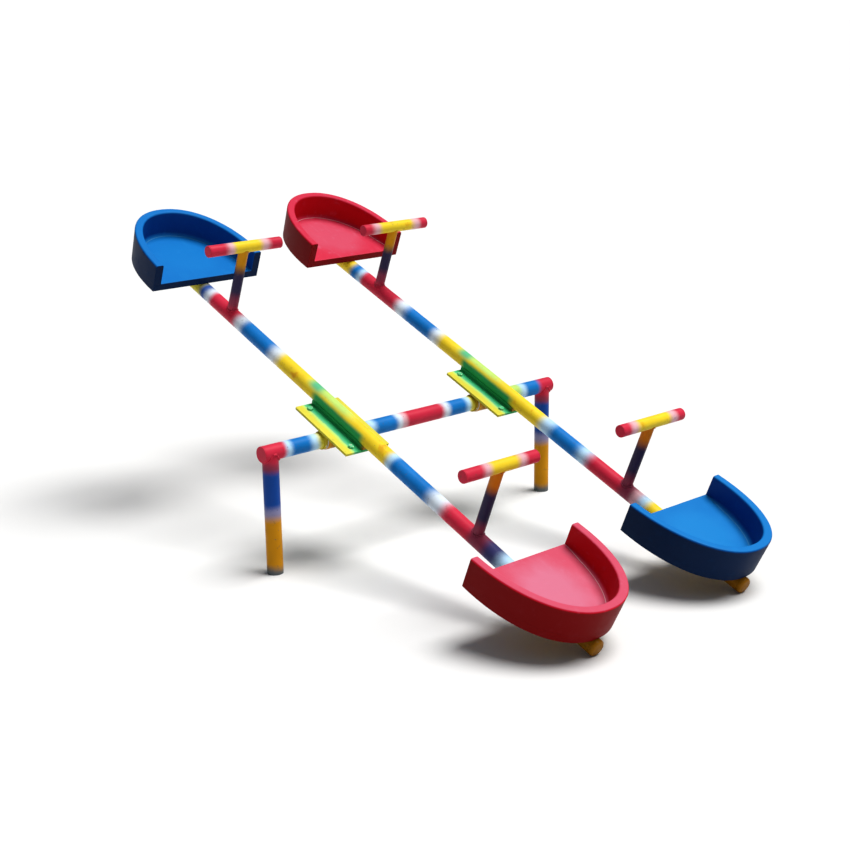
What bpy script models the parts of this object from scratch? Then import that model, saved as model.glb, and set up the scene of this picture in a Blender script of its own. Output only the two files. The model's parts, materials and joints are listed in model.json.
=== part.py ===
"""Double seesaw: two beams side by side, each on its own bearing, on one fixed crossbar.

Frame of the part, in metres: X runs along the crossbar, Y along the beams, Z up. The origin lies on
the ground under the middle of the whole seesaw. Both beams rest with their near (-Y) ends down.

Each seesaw is modelled in the frame of its own empty, which lies on the crossbar's axis and leans
with the beam. There X is the crossbar's direction, Y runs out along the beam and Z is square to it.
"""

import math

import bmesh
import bpy
from mathutils import Matrix, Vector

# ---- driving dimensions -------------------------------------------------------------------------
GAP = 0.0003  # left between faces that touch

TUBE_RADIUS = 0.0254  # crossbar, legs and beams are one size of steel tube
TUBE_WALL = 0.0032
TUBE_SIDES = 24
SMALL_SIDES = 20  # on the handles and in the bolt holes

PIVOT_HEIGHT = 0.385  # crossbar axis above the ground
LEG_X = 0.584  # leg axis to the middle
CROSSBAR_HALF = 0.617  # with its end discs
BEAM_X = 0.319  # beam axis to the middle
BEAM_LIFT = 0.0696  # beam axis above the crossbar axis
BEAM_HALF = 1.146  # pivot to the face of the beam's end cap

CAP_THICKNESS = 0.004
CAP_SPIGOT = 0.012
CAP_ROUNDING = 0.0015
BEAM_CAP_LENGTH = 0.016
BEAM_CAP_ROUNDING = 0.009
BEAM_CAP_STEPS = 4  # facets of its rounded edge, one of which faces the ground

SLEEVE_RADIUS = 0.03175
SLEEVE_WALL = 0.0032
SLEEVE_HALF = 0.064
BUSH_LENGTH = 0.040
FLANGE_RADIUS = 0.0305
FLANGE_THICKNESS = 0.003
COLLAR_RADIUS = 0.0295
COLLAR_WIDTH = 0.009

PLATE_WIDTH = 0.169  # both pivot plates, across the beam
PLATE_LENGTH = 0.270  # along the beam
PLATE_THICKNESS = 0.004
SADDLE_WIDTH = 0.043
SADDLE_SIDE = 0.011  # how far the saddle's sides rise past the underside of the beam

BOLT_X = 0.047
BOLT_Y = 0.108
BOLT_RADIUS = 0.005
BOLT_HOLE_RADIUS = 0.0055
BOLT_FLATS = 0.017
BOLT_HEAD = 0.0064
BOLT_NUT = 0.008
BOLT_END = 0.004  # shank below the nut

HANDLE_Y = 0.641  # post axis to the pivot
HANDLE_LIFT = 0.255  # handlebar axis above the beam axis
POST_RADIUS = 0.0168
BAR_RADIUS = 0.01905
BAR_HALF = 0.1417
HANDLE_WALL = 0.0029

SEAT_FRONT = 0.807  # front lip of the seat to the pivot
SEAT_REAR = 1.139
SEAT_HALF = 0.209  # half of its width
SEAT_CORNER = 0.009  # rounding of the outer front corners
BACK_FULLNESS = 2.17  # 2 would make the back an ellipse, and more makes it squarer
BACK_POINTS = 36
SEAT_RIM = 0.028  # width of the rim
SEAT_SKIN = 0.004
SEAT_FLOOR = 0.0502  # floor above the beam axis, as are the next four
RIM_FRONT = 0.1212
RIM_REAR = 0.1403
SKIRT_FRONT = 0.0260
SKIRT_REAR = 0.0265
SKIRT_TUCK = 0.0090  # how far the skirt draws in at the rear
RIM_ROUNDING = 0.006

BRACKET_LENGTH = 0.200
BRACKET_WIDTH = 0.180
BRACKET_THICKNESS = 0.004
BRACKET_RIB = 0.036  # width of the rib that sits on the beam

# ---- dimensions that follow ---------------------------------------------------------------------
BEAM_UNDERSIDE = BEAM_LIFT - TUBE_RADIUS
# The end cap's rounded edge just touches the ground at rest, which sets how far the beams lean.
EDGE_Y = BEAM_HALF - BEAM_CAP_ROUNDING
EDGE_Z = BEAM_UNDERSIDE + BEAM_CAP_ROUNDING
LEAN = math.asin((PIVOT_HEIGHT - BEAM_CAP_ROUNDING) / math.hypot(EDGE_Y, EDGE_Z)) + math.atan2(EDGE_Z, EDGE_Y)
# The pivot stands a little behind the middle, so that the origin is in the middle of the whole.
REACH_NEAR = SEAT_REAR * math.cos(LEAN) + (BEAM_LIFT + RIM_REAR) * math.sin(LEAN)
REACH_FAR = EDGE_Y * math.cos(LEAN) - EDGE_Z * math.sin(LEAN) + BEAM_CAP_ROUNDING
PIVOT_Y = (REACH_NEAR - REACH_FAR) / 2

SLEEVE_PLATE_BOTTOM = SLEEVE_RADIUS + GAP
BEAM_PLATE_BOTTOM = SLEEVE_PLATE_BOTTOM + PLATE_THICKNESS + GAP
SADDLE_BOTTOM = BEAM_PLATE_BOTTOM + PLATE_THICKNESS + GAP
BACK_START = SEAT_FRONT + SEAT_CORNER
BACK_LENGTH = SEAT_REAR - BACK_START

SIDES = {"left": -1, "right": 1}
ENDS = {"near": -1, "far": 1}

COLOURS = {
    "yellow_paint": ((0.80, 0.56, 0.03), 0.35, 0.0),
    "red_paint": ((0.62, 0.02, 0.05), 0.35, 0.0),
    "green_paint": ((0.02, 0.26, 0.07), 0.40, 0.0),
    "amber_paint": ((0.52, 0.30, 0.02), 0.40, 0.0),
    "navy_paint": ((0.03, 0.05, 0.20), 0.40, 0.0),
    "blue_plastic": ((0.01, 0.15, 0.62), 0.30, 0.0),
    "red_plastic": ((0.66, 0.02, 0.05), 0.30, 0.0),
    "zinc": ((0.60, 0.60, 0.58), 0.35, 1.0),
    "nylon": ((0.75, 0.73, 0.66), 0.50, 0.0),
}
SEAT_COLOURS = {
    ("left", "near"): "red_plastic",
    ("left", "far"): "blue_plastic",
    ("right", "near"): "blue_plastic",
    ("right", "far"): "red_plastic",
}


# ---- tools --------------------------------------------------------------------------------------
def clear_scene():
    """Remove every object that the open file holds."""
    for item in list(bpy.data.objects):
        bpy.data.objects.remove(item, do_unlink=True)


def new_collection(name):
    """Make a collection in the scene."""
    collection = bpy.data.collections.new(name)
    bpy.context.scene.collection.children.link(collection)
    return collection


def make_materials():
    """Make one Principled material for each finish."""
    made = {}
    for name, (colour, roughness, metallic) in COLOURS.items():
        finish = bpy.data.materials.new(name)
        finish.use_nodes = True
        shader = finish.node_tree.nodes["Principled BSDF"]
        shader.inputs["Base Color"].default_value = (*colour, 1.0)
        shader.inputs["Roughness"].default_value = roughness
        shader.inputs["Metallic"].default_value = metallic
        made[name] = finish
    return made


class Builder:
    """Keeps the collections and materials that every piece needs."""

    def __init__(self):
        self.parts = new_collection("seesaw")
        self.cutters = new_collection("cutters")
        self.materials = make_materials()

    def add(self, name, mesh, finish, parent=None, location=(0, 0, 0), rotation=(0, 0, 0)):
        """Put a mesh in the scene as one piece of the seesaw."""
        piece = bpy.data.objects.new(name, mesh)
        self.parts.objects.link(piece)
        piece.parent = parent
        piece.location = location
        piece.rotation_euler = rotation
        mesh.materials.append(self.materials[finish])
        return piece

    def add_cutter(self, name, mesh, parent=None, location=(0, 0, 0), rotation=(0, 0, 0)):
        """Put a mesh in the scene as a cutter, which isn't a piece of the seesaw."""
        cutter = bpy.data.objects.new(name, mesh)
        self.cutters.objects.link(cutter)
        cutter.parent = parent
        cutter.location = location
        cutter.rotation_euler = rotation
        cutter.hide_render = True
        cutter.display_type = "WIRE"
        return cutter

    def pivot(self, name, location, lean):
        """Make an empty on a joint's axis, which carries a whole seesaw."""
        empty = bpy.data.objects.new(name, None)
        self.parts.objects.link(empty)
        empty.location = location
        empty.rotation_euler = (lean, 0, 0)
        return empty


def cut(piece, cutter):
    """Take a cutter's shape out of a piece."""
    boolean = piece.modifiers.new("cut", "BOOLEAN")
    boolean.operation = "DIFFERENCE"
    boolean.solver = "EXACT"
    boolean.object = cutter


def join(piece, other):
    """Add another closed shape to a piece."""
    boolean = piece.modifiers.new("join", "BOOLEAN")
    boolean.operation = "UNION"
    boolean.solver = "EXACT"
    boolean.object = other


def turned_mesh(name, profile, closed, sides=TUBE_SIDES):
    """Turn a profile of (radius, height) points about Z. It runs down its outer side."""
    mesh = bpy.data.meshes.new(name)
    shape = bmesh.new()
    points = [shape.verts.new((radius, 0, height)) for radius, height in profile]
    for first, second in zip(points, points[1:]):
        shape.edges.new((first, second))
    if closed:
        shape.edges.new((points[-1], points[0]))
    bmesh.ops.spin(
        shape,
        geom=shape.verts[:] + shape.edges[:],
        axis=(0, 0, 1),
        cent=(0, 0, 0),
        angle=math.tau,
        steps=sides,
        use_merge=True,
    )
    bmesh.ops.remove_doubles(shape, verts=shape.verts, dist=1e-6)
    bmesh.ops.recalc_face_normals(shape, faces=shape.faces)
    shape.to_mesh(mesh)
    shape.free()
    mesh.shade_smooth()
    mesh.set_sharp_from_angle(angle=math.radians(40))
    return mesh


def tube_mesh(name, radius, wall, low, high, sides=TUBE_SIDES):
    """A length of tube along Z, open at both ends."""
    inner = radius - wall
    profile = [(radius, high), (radius, low), (inner, low), (inner, high)]
    return turned_mesh(name, profile, True, sides)


def rod_mesh(name, radius, low, high, sides=TUBE_SIDES):
    """A solid round bar along Z."""
    return turned_mesh(name, [(0, high), (radius, high), (radius, low), (0, low)], False, sides)


def plug_mesh(name, radius, thickness, wall, rounding, steps=1, sides=TUBE_SIDES):
    """An end plug along Z: a round head from 0 up, and a spigot below it that enters the tube."""
    spigot = radius - wall - GAP
    profile = [(0, thickness), (radius - rounding, thickness)]
    for step in range(1, steps + 1):
        angle = math.pi / 2 * (1 - step / steps)
        out = radius - rounding + rounding * math.cos(angle)
        up = thickness - rounding + rounding * math.sin(angle)
        profile.append((out, up))
    profile += [(radius, 0), (spigot, 0), (spigot, -CAP_SPIGOT), (0, -CAP_SPIGOT)]
    return turned_mesh(name, profile, False, sides)


def box_mesh(name, low, high):
    """A box between two corners."""
    mesh = bpy.data.meshes.new(name)
    shape = bmesh.new()
    size = Vector(high) - Vector(low)
    middle = (Vector(high) + Vector(low)) / 2
    bmesh.ops.create_cube(shape, size=1, matrix=Matrix.Translation(middle) @ Matrix.Diagonal((*size, 1)))
    shape.to_mesh(mesh)
    shape.free()
    return mesh


def prism_mesh(name, outline, low, high):
    """Extrude a flat outline of (x, y) points from one height to another."""
    curve = bpy.data.curves.new(name + "_outline", "CURVE")
    curve.dimensions = "2D"
    curve.fill_mode = "BOTH"
    curve.extrude = (high - low) / 2
    spline = curve.splines.new("POLY")
    spline.points.add(len(outline) - 1)
    for point, (x, y) in zip(spline.points, outline):
        point.co = (x, y, 0, 1)
    spline.use_cyclic_u = True
    guide = bpy.data.objects.new(name + "_guide", curve)
    bpy.context.scene.collection.objects.link(guide)
    evaluated = guide.evaluated_get(bpy.context.evaluated_depsgraph_get())
    mesh = bpy.data.meshes.new_from_object(evaluated)
    bpy.data.objects.remove(guide)
    shape = bmesh.new()
    shape.from_mesh(mesh)
    bmesh.ops.remove_doubles(shape, verts=shape.verts, dist=1e-5)
    bmesh.ops.dissolve_limit(shape, angle_limit=1e-3, verts=shape.verts, edges=shape.edges)
    bmesh.ops.recalc_face_normals(shape, faces=shape.faces)
    bmesh.ops.translate(shape, verts=shape.verts, vec=(0, 0, (high + low) / 2))
    shape.to_mesh(mesh)
    shape.free()
    return mesh


# ---- fixed frame --------------------------------------------------------------------------------
ALONG_X = (0, math.pi / 2, 0)  # turns a piece made along +Z to lie along +X
AGAINST_X = (0, -math.pi / 2, 0)
ALONG_Y = (-math.pi / 2, 0, 0)
AGAINST_Y = (math.pi / 2, 0, 0)


def build_frame(builder):
    """Crossbar, legs, end discs and the collars that keep the bearings in place."""
    axis = Vector((0, PIVOT_Y, PIVOT_HEIGHT))
    length = CROSSBAR_HALF - CAP_THICKNESS - GAP
    tube = tube_mesh("crossbar", TUBE_RADIUS, TUBE_WALL, -length, length)
    builder.add("crossbar", tube, "red_paint", location=axis, rotation=ALONG_X)
    clearance = rod_mesh("crossbar_clearance", TUBE_RADIUS + GAP, -1, 1)
    cope = builder.add_cutter("crossbar_clearance", clearance, location=axis, rotation=ALONG_X)

    for side, sign in SIDES.items():
        leg_tube = tube_mesh(f"leg_{side}", TUBE_RADIUS, TUBE_WALL, 0, PIVOT_HEIGHT)
        leg = builder.add(f"leg_{side}", leg_tube, "amber_paint", location=(sign * LEG_X, PIVOT_Y, 0))
        cut(leg, cope)

        disc = plug_mesh(f"crossbar_cap_{side}", TUBE_RADIUS, CAP_THICKNESS, TUBE_WALL, CAP_ROUNDING)
        seat = axis + Vector((sign * (CROSSBAR_HALF - CAP_THICKNESS), 0, 0))
        turn = ALONG_X if sign > 0 else AGAINST_X
        builder.add(f"crossbar_cap_{side}", disc, "red_paint", location=seat, rotation=turn)

        for place, out in (("inner", -1), ("outer", 1)):
            ring = tube_mesh(f"collar_{side}_{place}", COLLAR_RADIUS, COLLAR_RADIUS - TUBE_RADIUS - GAP,
                             -COLLAR_WIDTH / 2, COLLAR_WIDTH / 2)
            reach = SLEEVE_HALF + GAP + FLANGE_THICKNESS + GAP + COLLAR_WIDTH / 2
            spot = axis + Vector((sign * (BEAM_X + out * reach), 0, 0))
            builder.add(f"collar_{side}_{place}", ring, "yellow_paint", location=spot, rotation=ALONG_X)


# ---- pivot of one seesaw ------------------------------------------------------------------------
def build_bearing(builder, side, pivot):
    """Sleeve round the crossbar, with a flanged bush in each end."""
    sleeve = tube_mesh(f"pivot_sleeve_{side}", SLEEVE_RADIUS, SLEEVE_WALL, -SLEEVE_HALF, SLEEVE_HALF)
    builder.add(f"pivot_sleeve_{side}", sleeve, "amber_paint", pivot, rotation=ALONG_X)
    bore = TUBE_RADIUS + GAP
    outer = SLEEVE_RADIUS - SLEEVE_WALL - GAP
    profile = [
        (FLANGE_RADIUS, FLANGE_THICKNESS),
        (FLANGE_RADIUS, 0),
        (outer, 0),
        (outer, -BUSH_LENGTH),
        (bore, -BUSH_LENGTH),
        (bore, FLANGE_THICKNESS),
    ]
    for place, out in (("inner", -SIDES[side]), ("outer", SIDES[side])):
        bush = turned_mesh(f"bush_{side}_{place}", profile, True)
        turn = ALONG_X if out > 0 else AGAINST_X
        builder.add(f"bush_{side}_{place}", bush, "nylon", pivot, (out * (SLEEVE_HALF + GAP), 0, 0), turn)


def bolt_mesh(name, grip):
    """Hexagon bolt along Z with its nut. The plates it holds lie from -grip to 0."""
    across_corners = BOLT_FLATS / math.sqrt(3)
    head = bmesh.new()
    top = Matrix.Translation((0, 0, BOLT_HEAD / 2 + GAP))
    bmesh.ops.create_cone(head, cap_ends=True, segments=6, radius1=across_corners, radius2=across_corners,
                          depth=BOLT_HEAD, matrix=top)
    shank_low = -grip - GAP - BOLT_NUT - BOLT_END
    shank_high = BOLT_HEAD / 2
    middle = Matrix.Translation((0, 0, (shank_low + shank_high) / 2))
    shank = bmesh.new()
    bmesh.ops.create_cone(shank, cap_ends=True, segments=16, radius1=BOLT_RADIUS, radius2=BOLT_RADIUS,
                          depth=shank_high - shank_low, matrix=middle)
    nut = bmesh.new()
    under = Matrix.Translation((0, 0, -grip - GAP - BOLT_NUT / 2))
    bmesh.ops.create_cone(nut, cap_ends=True, segments=6, radius1=across_corners, radius2=across_corners,
                          depth=BOLT_NUT, matrix=under)
    meshes = []
    for part, shape in (("head", head), ("shank", shank), ("nut", nut)):
        mesh = bpy.data.meshes.new(f"{name}_{part}")
        shape.to_mesh(mesh)
        shape.free()
        meshes.append(mesh)
    return meshes


def build_plates(builder, side, pivot):
    """Plate welded on the sleeve, plate under the beam, and the four bolts that hold them together."""
    half_x = PLATE_WIDTH / 2
    half_y = PLATE_LENGTH / 2
    plates = []
    for kind, bottom in (("sleeve_plate", SLEEVE_PLATE_BOTTOM), ("beam_plate", BEAM_PLATE_BOTTOM)):
        name = f"{kind}_{side}"
        low = (-half_x, -half_y, bottom)
        high = (half_x, half_y, bottom + PLATE_THICKNESS)
        plates.append(builder.add(name, box_mesh(name, low, high), "yellow_paint", pivot))

    grip = 2 * PLATE_THICKNESS + GAP
    top = BEAM_PLATE_BOTTOM + PLATE_THICKNESS
    number = 0
    for x in (-BOLT_X, BOLT_X):
        for y in (-BOLT_Y, BOLT_Y):
            number += 1
            name = f"plate_bolt_{side}_{number}"
            hole = rod_mesh(f"{name}_hole", BOLT_HOLE_RADIUS, 0, 2 * top, SMALL_SIDES)
            drill = builder.add_cutter(f"{name}_hole", hole, pivot, (x, y, 0))
            for plate in plates:
                cut(plate, drill)
            head, shank, nut = bolt_mesh(name, grip)
            bolt = builder.add(name, head, "zinc", pivot, (x, y, top))
            join(bolt, builder.add_cutter(f"{name}_shank", shank, pivot, (x, y, top)))
            join(bolt, builder.add_cutter(f"{name}_nut", nut, pivot, (x, y, top)))


# ---- beam, handles and seats of one seesaw ------------------------------------------------------
def build_beam(builder, side, pivot):
    """Beam tube with a domed cap in each end, and the saddle that it lies in. Returns the cutter."""
    axis = Vector((0, 0, BEAM_LIFT))
    half = BEAM_HALF - BEAM_CAP_LENGTH - GAP
    tube = tube_mesh(f"beam_{side}", TUBE_RADIUS, TUBE_WALL, -half, half)
    builder.add(f"beam_{side}", tube, "yellow_paint", pivot, axis, ALONG_Y)
    clearance = rod_mesh(f"beam_{side}_clearance", TUBE_RADIUS + GAP, -2 * BEAM_HALF, 2 * BEAM_HALF)
    cope = builder.add_cutter(f"beam_{side}_clearance", clearance, pivot, axis, ALONG_Y)

    for end, out in ENDS.items():
        plug = plug_mesh(f"beam_cap_{side}_{end}", TUBE_RADIUS, BEAM_CAP_LENGTH, TUBE_WALL, BEAM_CAP_ROUNDING,
                         BEAM_CAP_STEPS)
        spot = axis + Vector((0, out * (BEAM_HALF - BEAM_CAP_LENGTH), 0))
        turn = ALONG_Y if out > 0 else AGAINST_Y
        builder.add(f"beam_cap_{side}_{end}", plug, "amber_paint", pivot, spot, turn)

    half_x = SADDLE_WIDTH / 2
    half_y = PLATE_LENGTH / 2
    low = (-half_x, -half_y, SADDLE_BOTTOM)
    high = (half_x, half_y, BEAM_UNDERSIDE + SADDLE_SIDE)
    block = box_mesh(f"saddle_{side}", low, high)
    cut(builder.add(f"saddle_{side}", block, "green_paint", pivot), cope)
    return cope


def build_handle(builder, side, end, pivot, beam_cope):
    """T-shaped handle: a post on the beam, and a bar across it with a disc in each end."""
    name = f"{side}_{end}"
    y = ENDS[end] * HANDLE_Y
    top = BEAM_LIFT + HANDLE_LIFT
    post_tube = tube_mesh(f"handle_post_{name}", POST_RADIUS, HANDLE_WALL, BEAM_LIFT, top, SMALL_SIDES)
    post = builder.add(f"handle_post_{name}", post_tube, "navy_paint", pivot, (0, y, 0))
    clearance = rod_mesh(f"handlebar_{name}_clearance", BAR_RADIUS + GAP, -BAR_HALF, BAR_HALF, SMALL_SIDES)
    bar_cope = builder.add_cutter(f"handlebar_{name}_clearance", clearance, pivot, (0, y, top), ALONG_X)
    cut(post, beam_cope)
    cut(post, bar_cope)

    half = BAR_HALF - CAP_THICKNESS - GAP
    bar = tube_mesh(f"handlebar_{name}", BAR_RADIUS, HANDLE_WALL, -half, half, SMALL_SIDES)
    builder.add(f"handlebar_{name}", bar, "yellow_paint", pivot, (0, y, top), ALONG_X)
    for hand, sign in SIDES.items():
        disc = plug_mesh(f"handlebar_cap_{name}_{hand}", BAR_RADIUS, CAP_THICKNESS, HANDLE_WALL, CAP_ROUNDING,
                         sides=SMALL_SIDES)
        turn = ALONG_X if sign > 0 else AGAINST_X
        spot = (sign * (BAR_HALF - CAP_THICKNESS), y, top)
        builder.add(f"handlebar_cap_{name}_{hand}", disc, "red_paint", pivot, spot, turn)


def seat_outline(inset, front, corner):
    """Horseshoe outline of the seat, drawn in by an inset on its sides and back.

    Y runs out along the beam. The front edge is straight and lies at `front`, between corners of
    the given radius. The sides run straight from there to where the back begins.
    """
    half = SEAT_HALF - inset
    right = [(half - corner, front)]
    for degrees in (30, 60, 90) if corner else ():
        angle = math.radians(degrees)
        right.append((half - corner + corner * math.sin(angle), front + corner - corner * math.cos(angle)))
    if BACK_START - right[-1][1] > GAP:
        right.append((half, BACK_START))
    back = []
    for step in range(1, BACK_POINTS):
        angle = math.pi * step / BACK_POINTS
        across = abs(math.cos(angle)) ** (2 / BACK_FULLNESS)
        out = math.sin(angle) ** (2 / BACK_FULLNESS)
        back.append((math.copysign(half * across, math.cos(angle)), BACK_START + (BACK_LENGTH - inset) * out))
    left = [(-x, y) for x, y in reversed(right)]
    return right + back + left


def shape_walls(mesh, skin, below):
    """Give a straight prism, whose top is at 0, the seat's rising rim, falling skirt and lean back.

    Its top goes `skin` under the rim and its bottom `below` under the skirt's lower edge. The back
    draws in evenly on the way down, by SKIRT_TUCK at the skirt's edge.
    """
    middle = min(vertex.co.z for vertex in mesh.vertices) / 2
    for vertex in mesh.vertices:
        along = (vertex.co.y - SEAT_FRONT) / (SEAT_REAR - SEAT_FRONT)
        rim = RIM_FRONT + along * (RIM_REAR - RIM_FRONT)
        skirt = SKIRT_FRONT + along * (SKIRT_REAR - SKIRT_FRONT)
        if vertex.co.z > middle:
            vertex.co.z += rim - skin
            continue
        vertex.co.z = skirt - below
        tuck = SKIRT_TUCK * (rim - vertex.co.z) / (rim - skirt)
        vertex.co.y -= tuck * max(0, vertex.co.y - BACK_START) / BACK_LENGTH


def seat_mesh(name):
    """Outer shape of the seat, as a block with a rounded rim."""
    depth = 0.1
    mesh = prism_mesh(name, seat_outline(0, SEAT_FRONT, SEAT_CORNER), -depth, 0)
    shape = bmesh.new()
    shape.from_mesh(mesh)
    rim = [edge for edge in shape.edges if all(vertex.co.z > -depth / 2 for vertex in edge.verts)]
    bmesh.ops.bevel(shape, geom=rim, offset=RIM_ROUNDING, segments=2, profile=0.5, affect="EDGES")
    shape.to_mesh(mesh)
    shape.free()
    shape_walls(mesh, 0, 0)
    return mesh


def build_seat(builder, side, end, pivot, beam_cope):
    """Bucket seat, moulded as one skin that is open underneath, and the bracket that carries it."""
    name = f"{side}_{end}"
    turn = (0, 0, 0) if end == "far" else (0, 0, math.pi)
    lift = (0, 0, BEAM_LIFT)
    seat = builder.add(f"seat_{name}", seat_mesh(f"seat_{name}"), SEAT_COLOURS[side, end], pivot, lift, turn)

    clear = 0.1
    bowl_outline = seat_outline(SEAT_RIM, SEAT_FRONT - clear, 0)
    bowl = prism_mesh(f"seat_{name}_bowl", bowl_outline, SEAT_FLOOR, RIM_REAR + clear)
    cut(seat, builder.add_cutter(f"seat_{name}_bowl", bowl, pivot, lift, turn))

    core_outline = seat_outline(SEAT_SKIN, SEAT_FRONT + SEAT_SKIN, SEAT_CORNER - SEAT_SKIN)
    core_mesh = prism_mesh(f"seat_{name}_core", core_outline, -clear, 0)
    shape_walls(core_mesh, SEAT_SKIN, clear)
    core = builder.add_cutter(f"seat_{name}_core", core_mesh, pivot, lift, turn)
    relief_outline = seat_outline(SEAT_RIM - SEAT_SKIN, SEAT_FRONT - clear, 0)
    relief = prism_mesh(f"seat_{name}_relief", relief_outline, SEAT_FLOOR - SEAT_SKIN, RIM_REAR + clear)
    cut(core, builder.add_cutter(f"seat_{name}_relief", relief, pivot, lift, turn))
    cut(seat, core)

    middle = (SEAT_FRONT + SEAT_REAR) / 2
    top = SEAT_FLOOR - SEAT_SKIN - GAP
    low = (-BRACKET_WIDTH / 2, middle - BRACKET_LENGTH / 2, top - BRACKET_THICKNESS)
    high = (BRACKET_WIDTH / 2, middle + BRACKET_LENGTH / 2, top)
    tray = builder.add(f"seat_bracket_{name}", box_mesh(f"seat_bracket_{name}", low, high), "amber_paint",
                       pivot, lift, turn)
    rib_low = (-BRACKET_RIB / 2, middle - BRACKET_LENGTH / 2, TUBE_RADIUS / 2)
    rib_high = (BRACKET_RIB / 2, middle + BRACKET_LENGTH / 2, top - BRACKET_THICKNESS / 2)
    rib = box_mesh(f"seat_bracket_{name}_rib", rib_low, rib_high)
    join(tray, builder.add_cutter(f"seat_bracket_{name}_rib", rib, pivot, lift, turn))
    cut(tray, beam_cope)


def build_seesaw(builder, side):
    """Everything that rocks with one beam."""
    spot = (SIDES[side] * BEAM_X, PIVOT_Y, PIVOT_HEIGHT)
    pivot = builder.pivot(f"pivot_{side}", spot, LEAN)
    build_bearing(builder, side, pivot)
    build_plates(builder, side, pivot)
    beam_cope = build_beam(builder, side, pivot)
    for end in ENDS:
        build_handle(builder, side, end, pivot, beam_cope)
        build_seat(builder, side, end, pivot, beam_cope)


def main():
    """Build the whole seesaw."""
    clear_scene()
    builder = Builder()
    build_frame(builder)
    for side in SIDES:
        build_seesaw(builder, side)
    bpy.context.view_layer.update()


main()
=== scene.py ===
"""Visible pieces and finishes of a playground double seesaw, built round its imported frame.

Two tube beams rock side by side on one crossbar, which stands on a leg at each end. Every beam has a
bucket seat and a T-shaped handle at both ends. The steel is sprayed in bands of enamel whose edges
fade into white, and the seats are moulded plastic.

Lengths are in metres. The frame's axes are X along the crossbar, Y along the beams and Z up. A beam
also has axes of its own, which lie at its pivot and lean with it: X across the beam, Y out along it
and Z square to it.
"""

from __future__ import annotations

import json
import logging
import math
from collections.abc import Callable, Iterable, Sequence
from dataclasses import dataclass
from enum import Enum
from typing import ClassVar

import bmesh
import bpy
from mathutils import Matrix, Vector

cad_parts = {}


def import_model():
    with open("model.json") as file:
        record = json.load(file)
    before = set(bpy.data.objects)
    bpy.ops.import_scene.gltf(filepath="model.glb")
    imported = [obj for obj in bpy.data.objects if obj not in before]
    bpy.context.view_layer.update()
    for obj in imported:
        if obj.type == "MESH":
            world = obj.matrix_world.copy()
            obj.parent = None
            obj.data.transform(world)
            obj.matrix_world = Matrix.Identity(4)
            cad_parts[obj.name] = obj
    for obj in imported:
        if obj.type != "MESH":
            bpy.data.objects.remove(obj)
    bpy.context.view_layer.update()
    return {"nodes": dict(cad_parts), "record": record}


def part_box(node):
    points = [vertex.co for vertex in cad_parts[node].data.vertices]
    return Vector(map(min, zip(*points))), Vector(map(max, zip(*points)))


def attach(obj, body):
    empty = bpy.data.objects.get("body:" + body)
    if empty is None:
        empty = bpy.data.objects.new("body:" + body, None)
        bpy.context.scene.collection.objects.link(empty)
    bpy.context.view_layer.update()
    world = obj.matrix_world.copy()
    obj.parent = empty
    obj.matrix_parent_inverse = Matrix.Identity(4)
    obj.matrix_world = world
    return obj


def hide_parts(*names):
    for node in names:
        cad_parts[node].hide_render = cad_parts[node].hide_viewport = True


LOG = logging.getLogger("seesaw")

ROUND_STEPS = 64  # facets round a large tube
FINE_STEPS = 40  # facets round a small part
EDGE = 0.0006  # rounding of a plate's edge
CUT_EDGE = 0.0003  # rounding of a sawn tube's edge
SEAM = 0.0003  # gap between a tube's end and its plug
PLUG_PLAY = 0.0006  # gap between a plug's spigot and the tube's bore
RIPPLE = 0.0045  # length of a weld bead's ripple
SMOOTH_ANGLE = math.radians(32)

Triple = tuple[float, float, float]
Profile = list[tuple[float, float]]


# ---- shader graph
class Wire:
    """An output socket of a material. Python's operators on it add Math nodes."""

    def __init__(self, graph: Graph, socket: bpy.types.NodeSocket) -> None:
        """Wrap a socket of the graph it belongs to."""
        self.graph = graph
        self.socket = socket

    def _math(self, operation: str, first: Wire | float, second: Wire | float) -> Wire:
        """Add one Math node and return its result."""
        return self.graph.node("ShaderNodeMath", {"operation": operation}, {0: first, 1: second})

    def __add__(self, other: Wire | float) -> Wire:
        """Return self + other."""
        return self._math("ADD", self, other)

    def __radd__(self, other: float) -> Wire:
        """Return other + self."""
        return self._math("ADD", other, self)

    def __sub__(self, other: Wire | float) -> Wire:
        """Return self - other."""
        return self._math("SUBTRACT", self, other)

    def __rsub__(self, other: float) -> Wire:
        """Return other - self."""
        return self._math("SUBTRACT", other, self)

    def __mul__(self, other: Wire | float) -> Wire:
        """Return self * other."""
        return self._math("MULTIPLY", self, other)

    def __rmul__(self, other: float) -> Wire:
        """Return other * self."""
        return self._math("MULTIPLY", other, self)

    def __abs__(self) -> Wire:
        """Return the size of self without its sign."""
        return self.graph.node("ShaderNodeMath", {"operation": "ABSOLUTE"}, {0: self})


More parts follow.
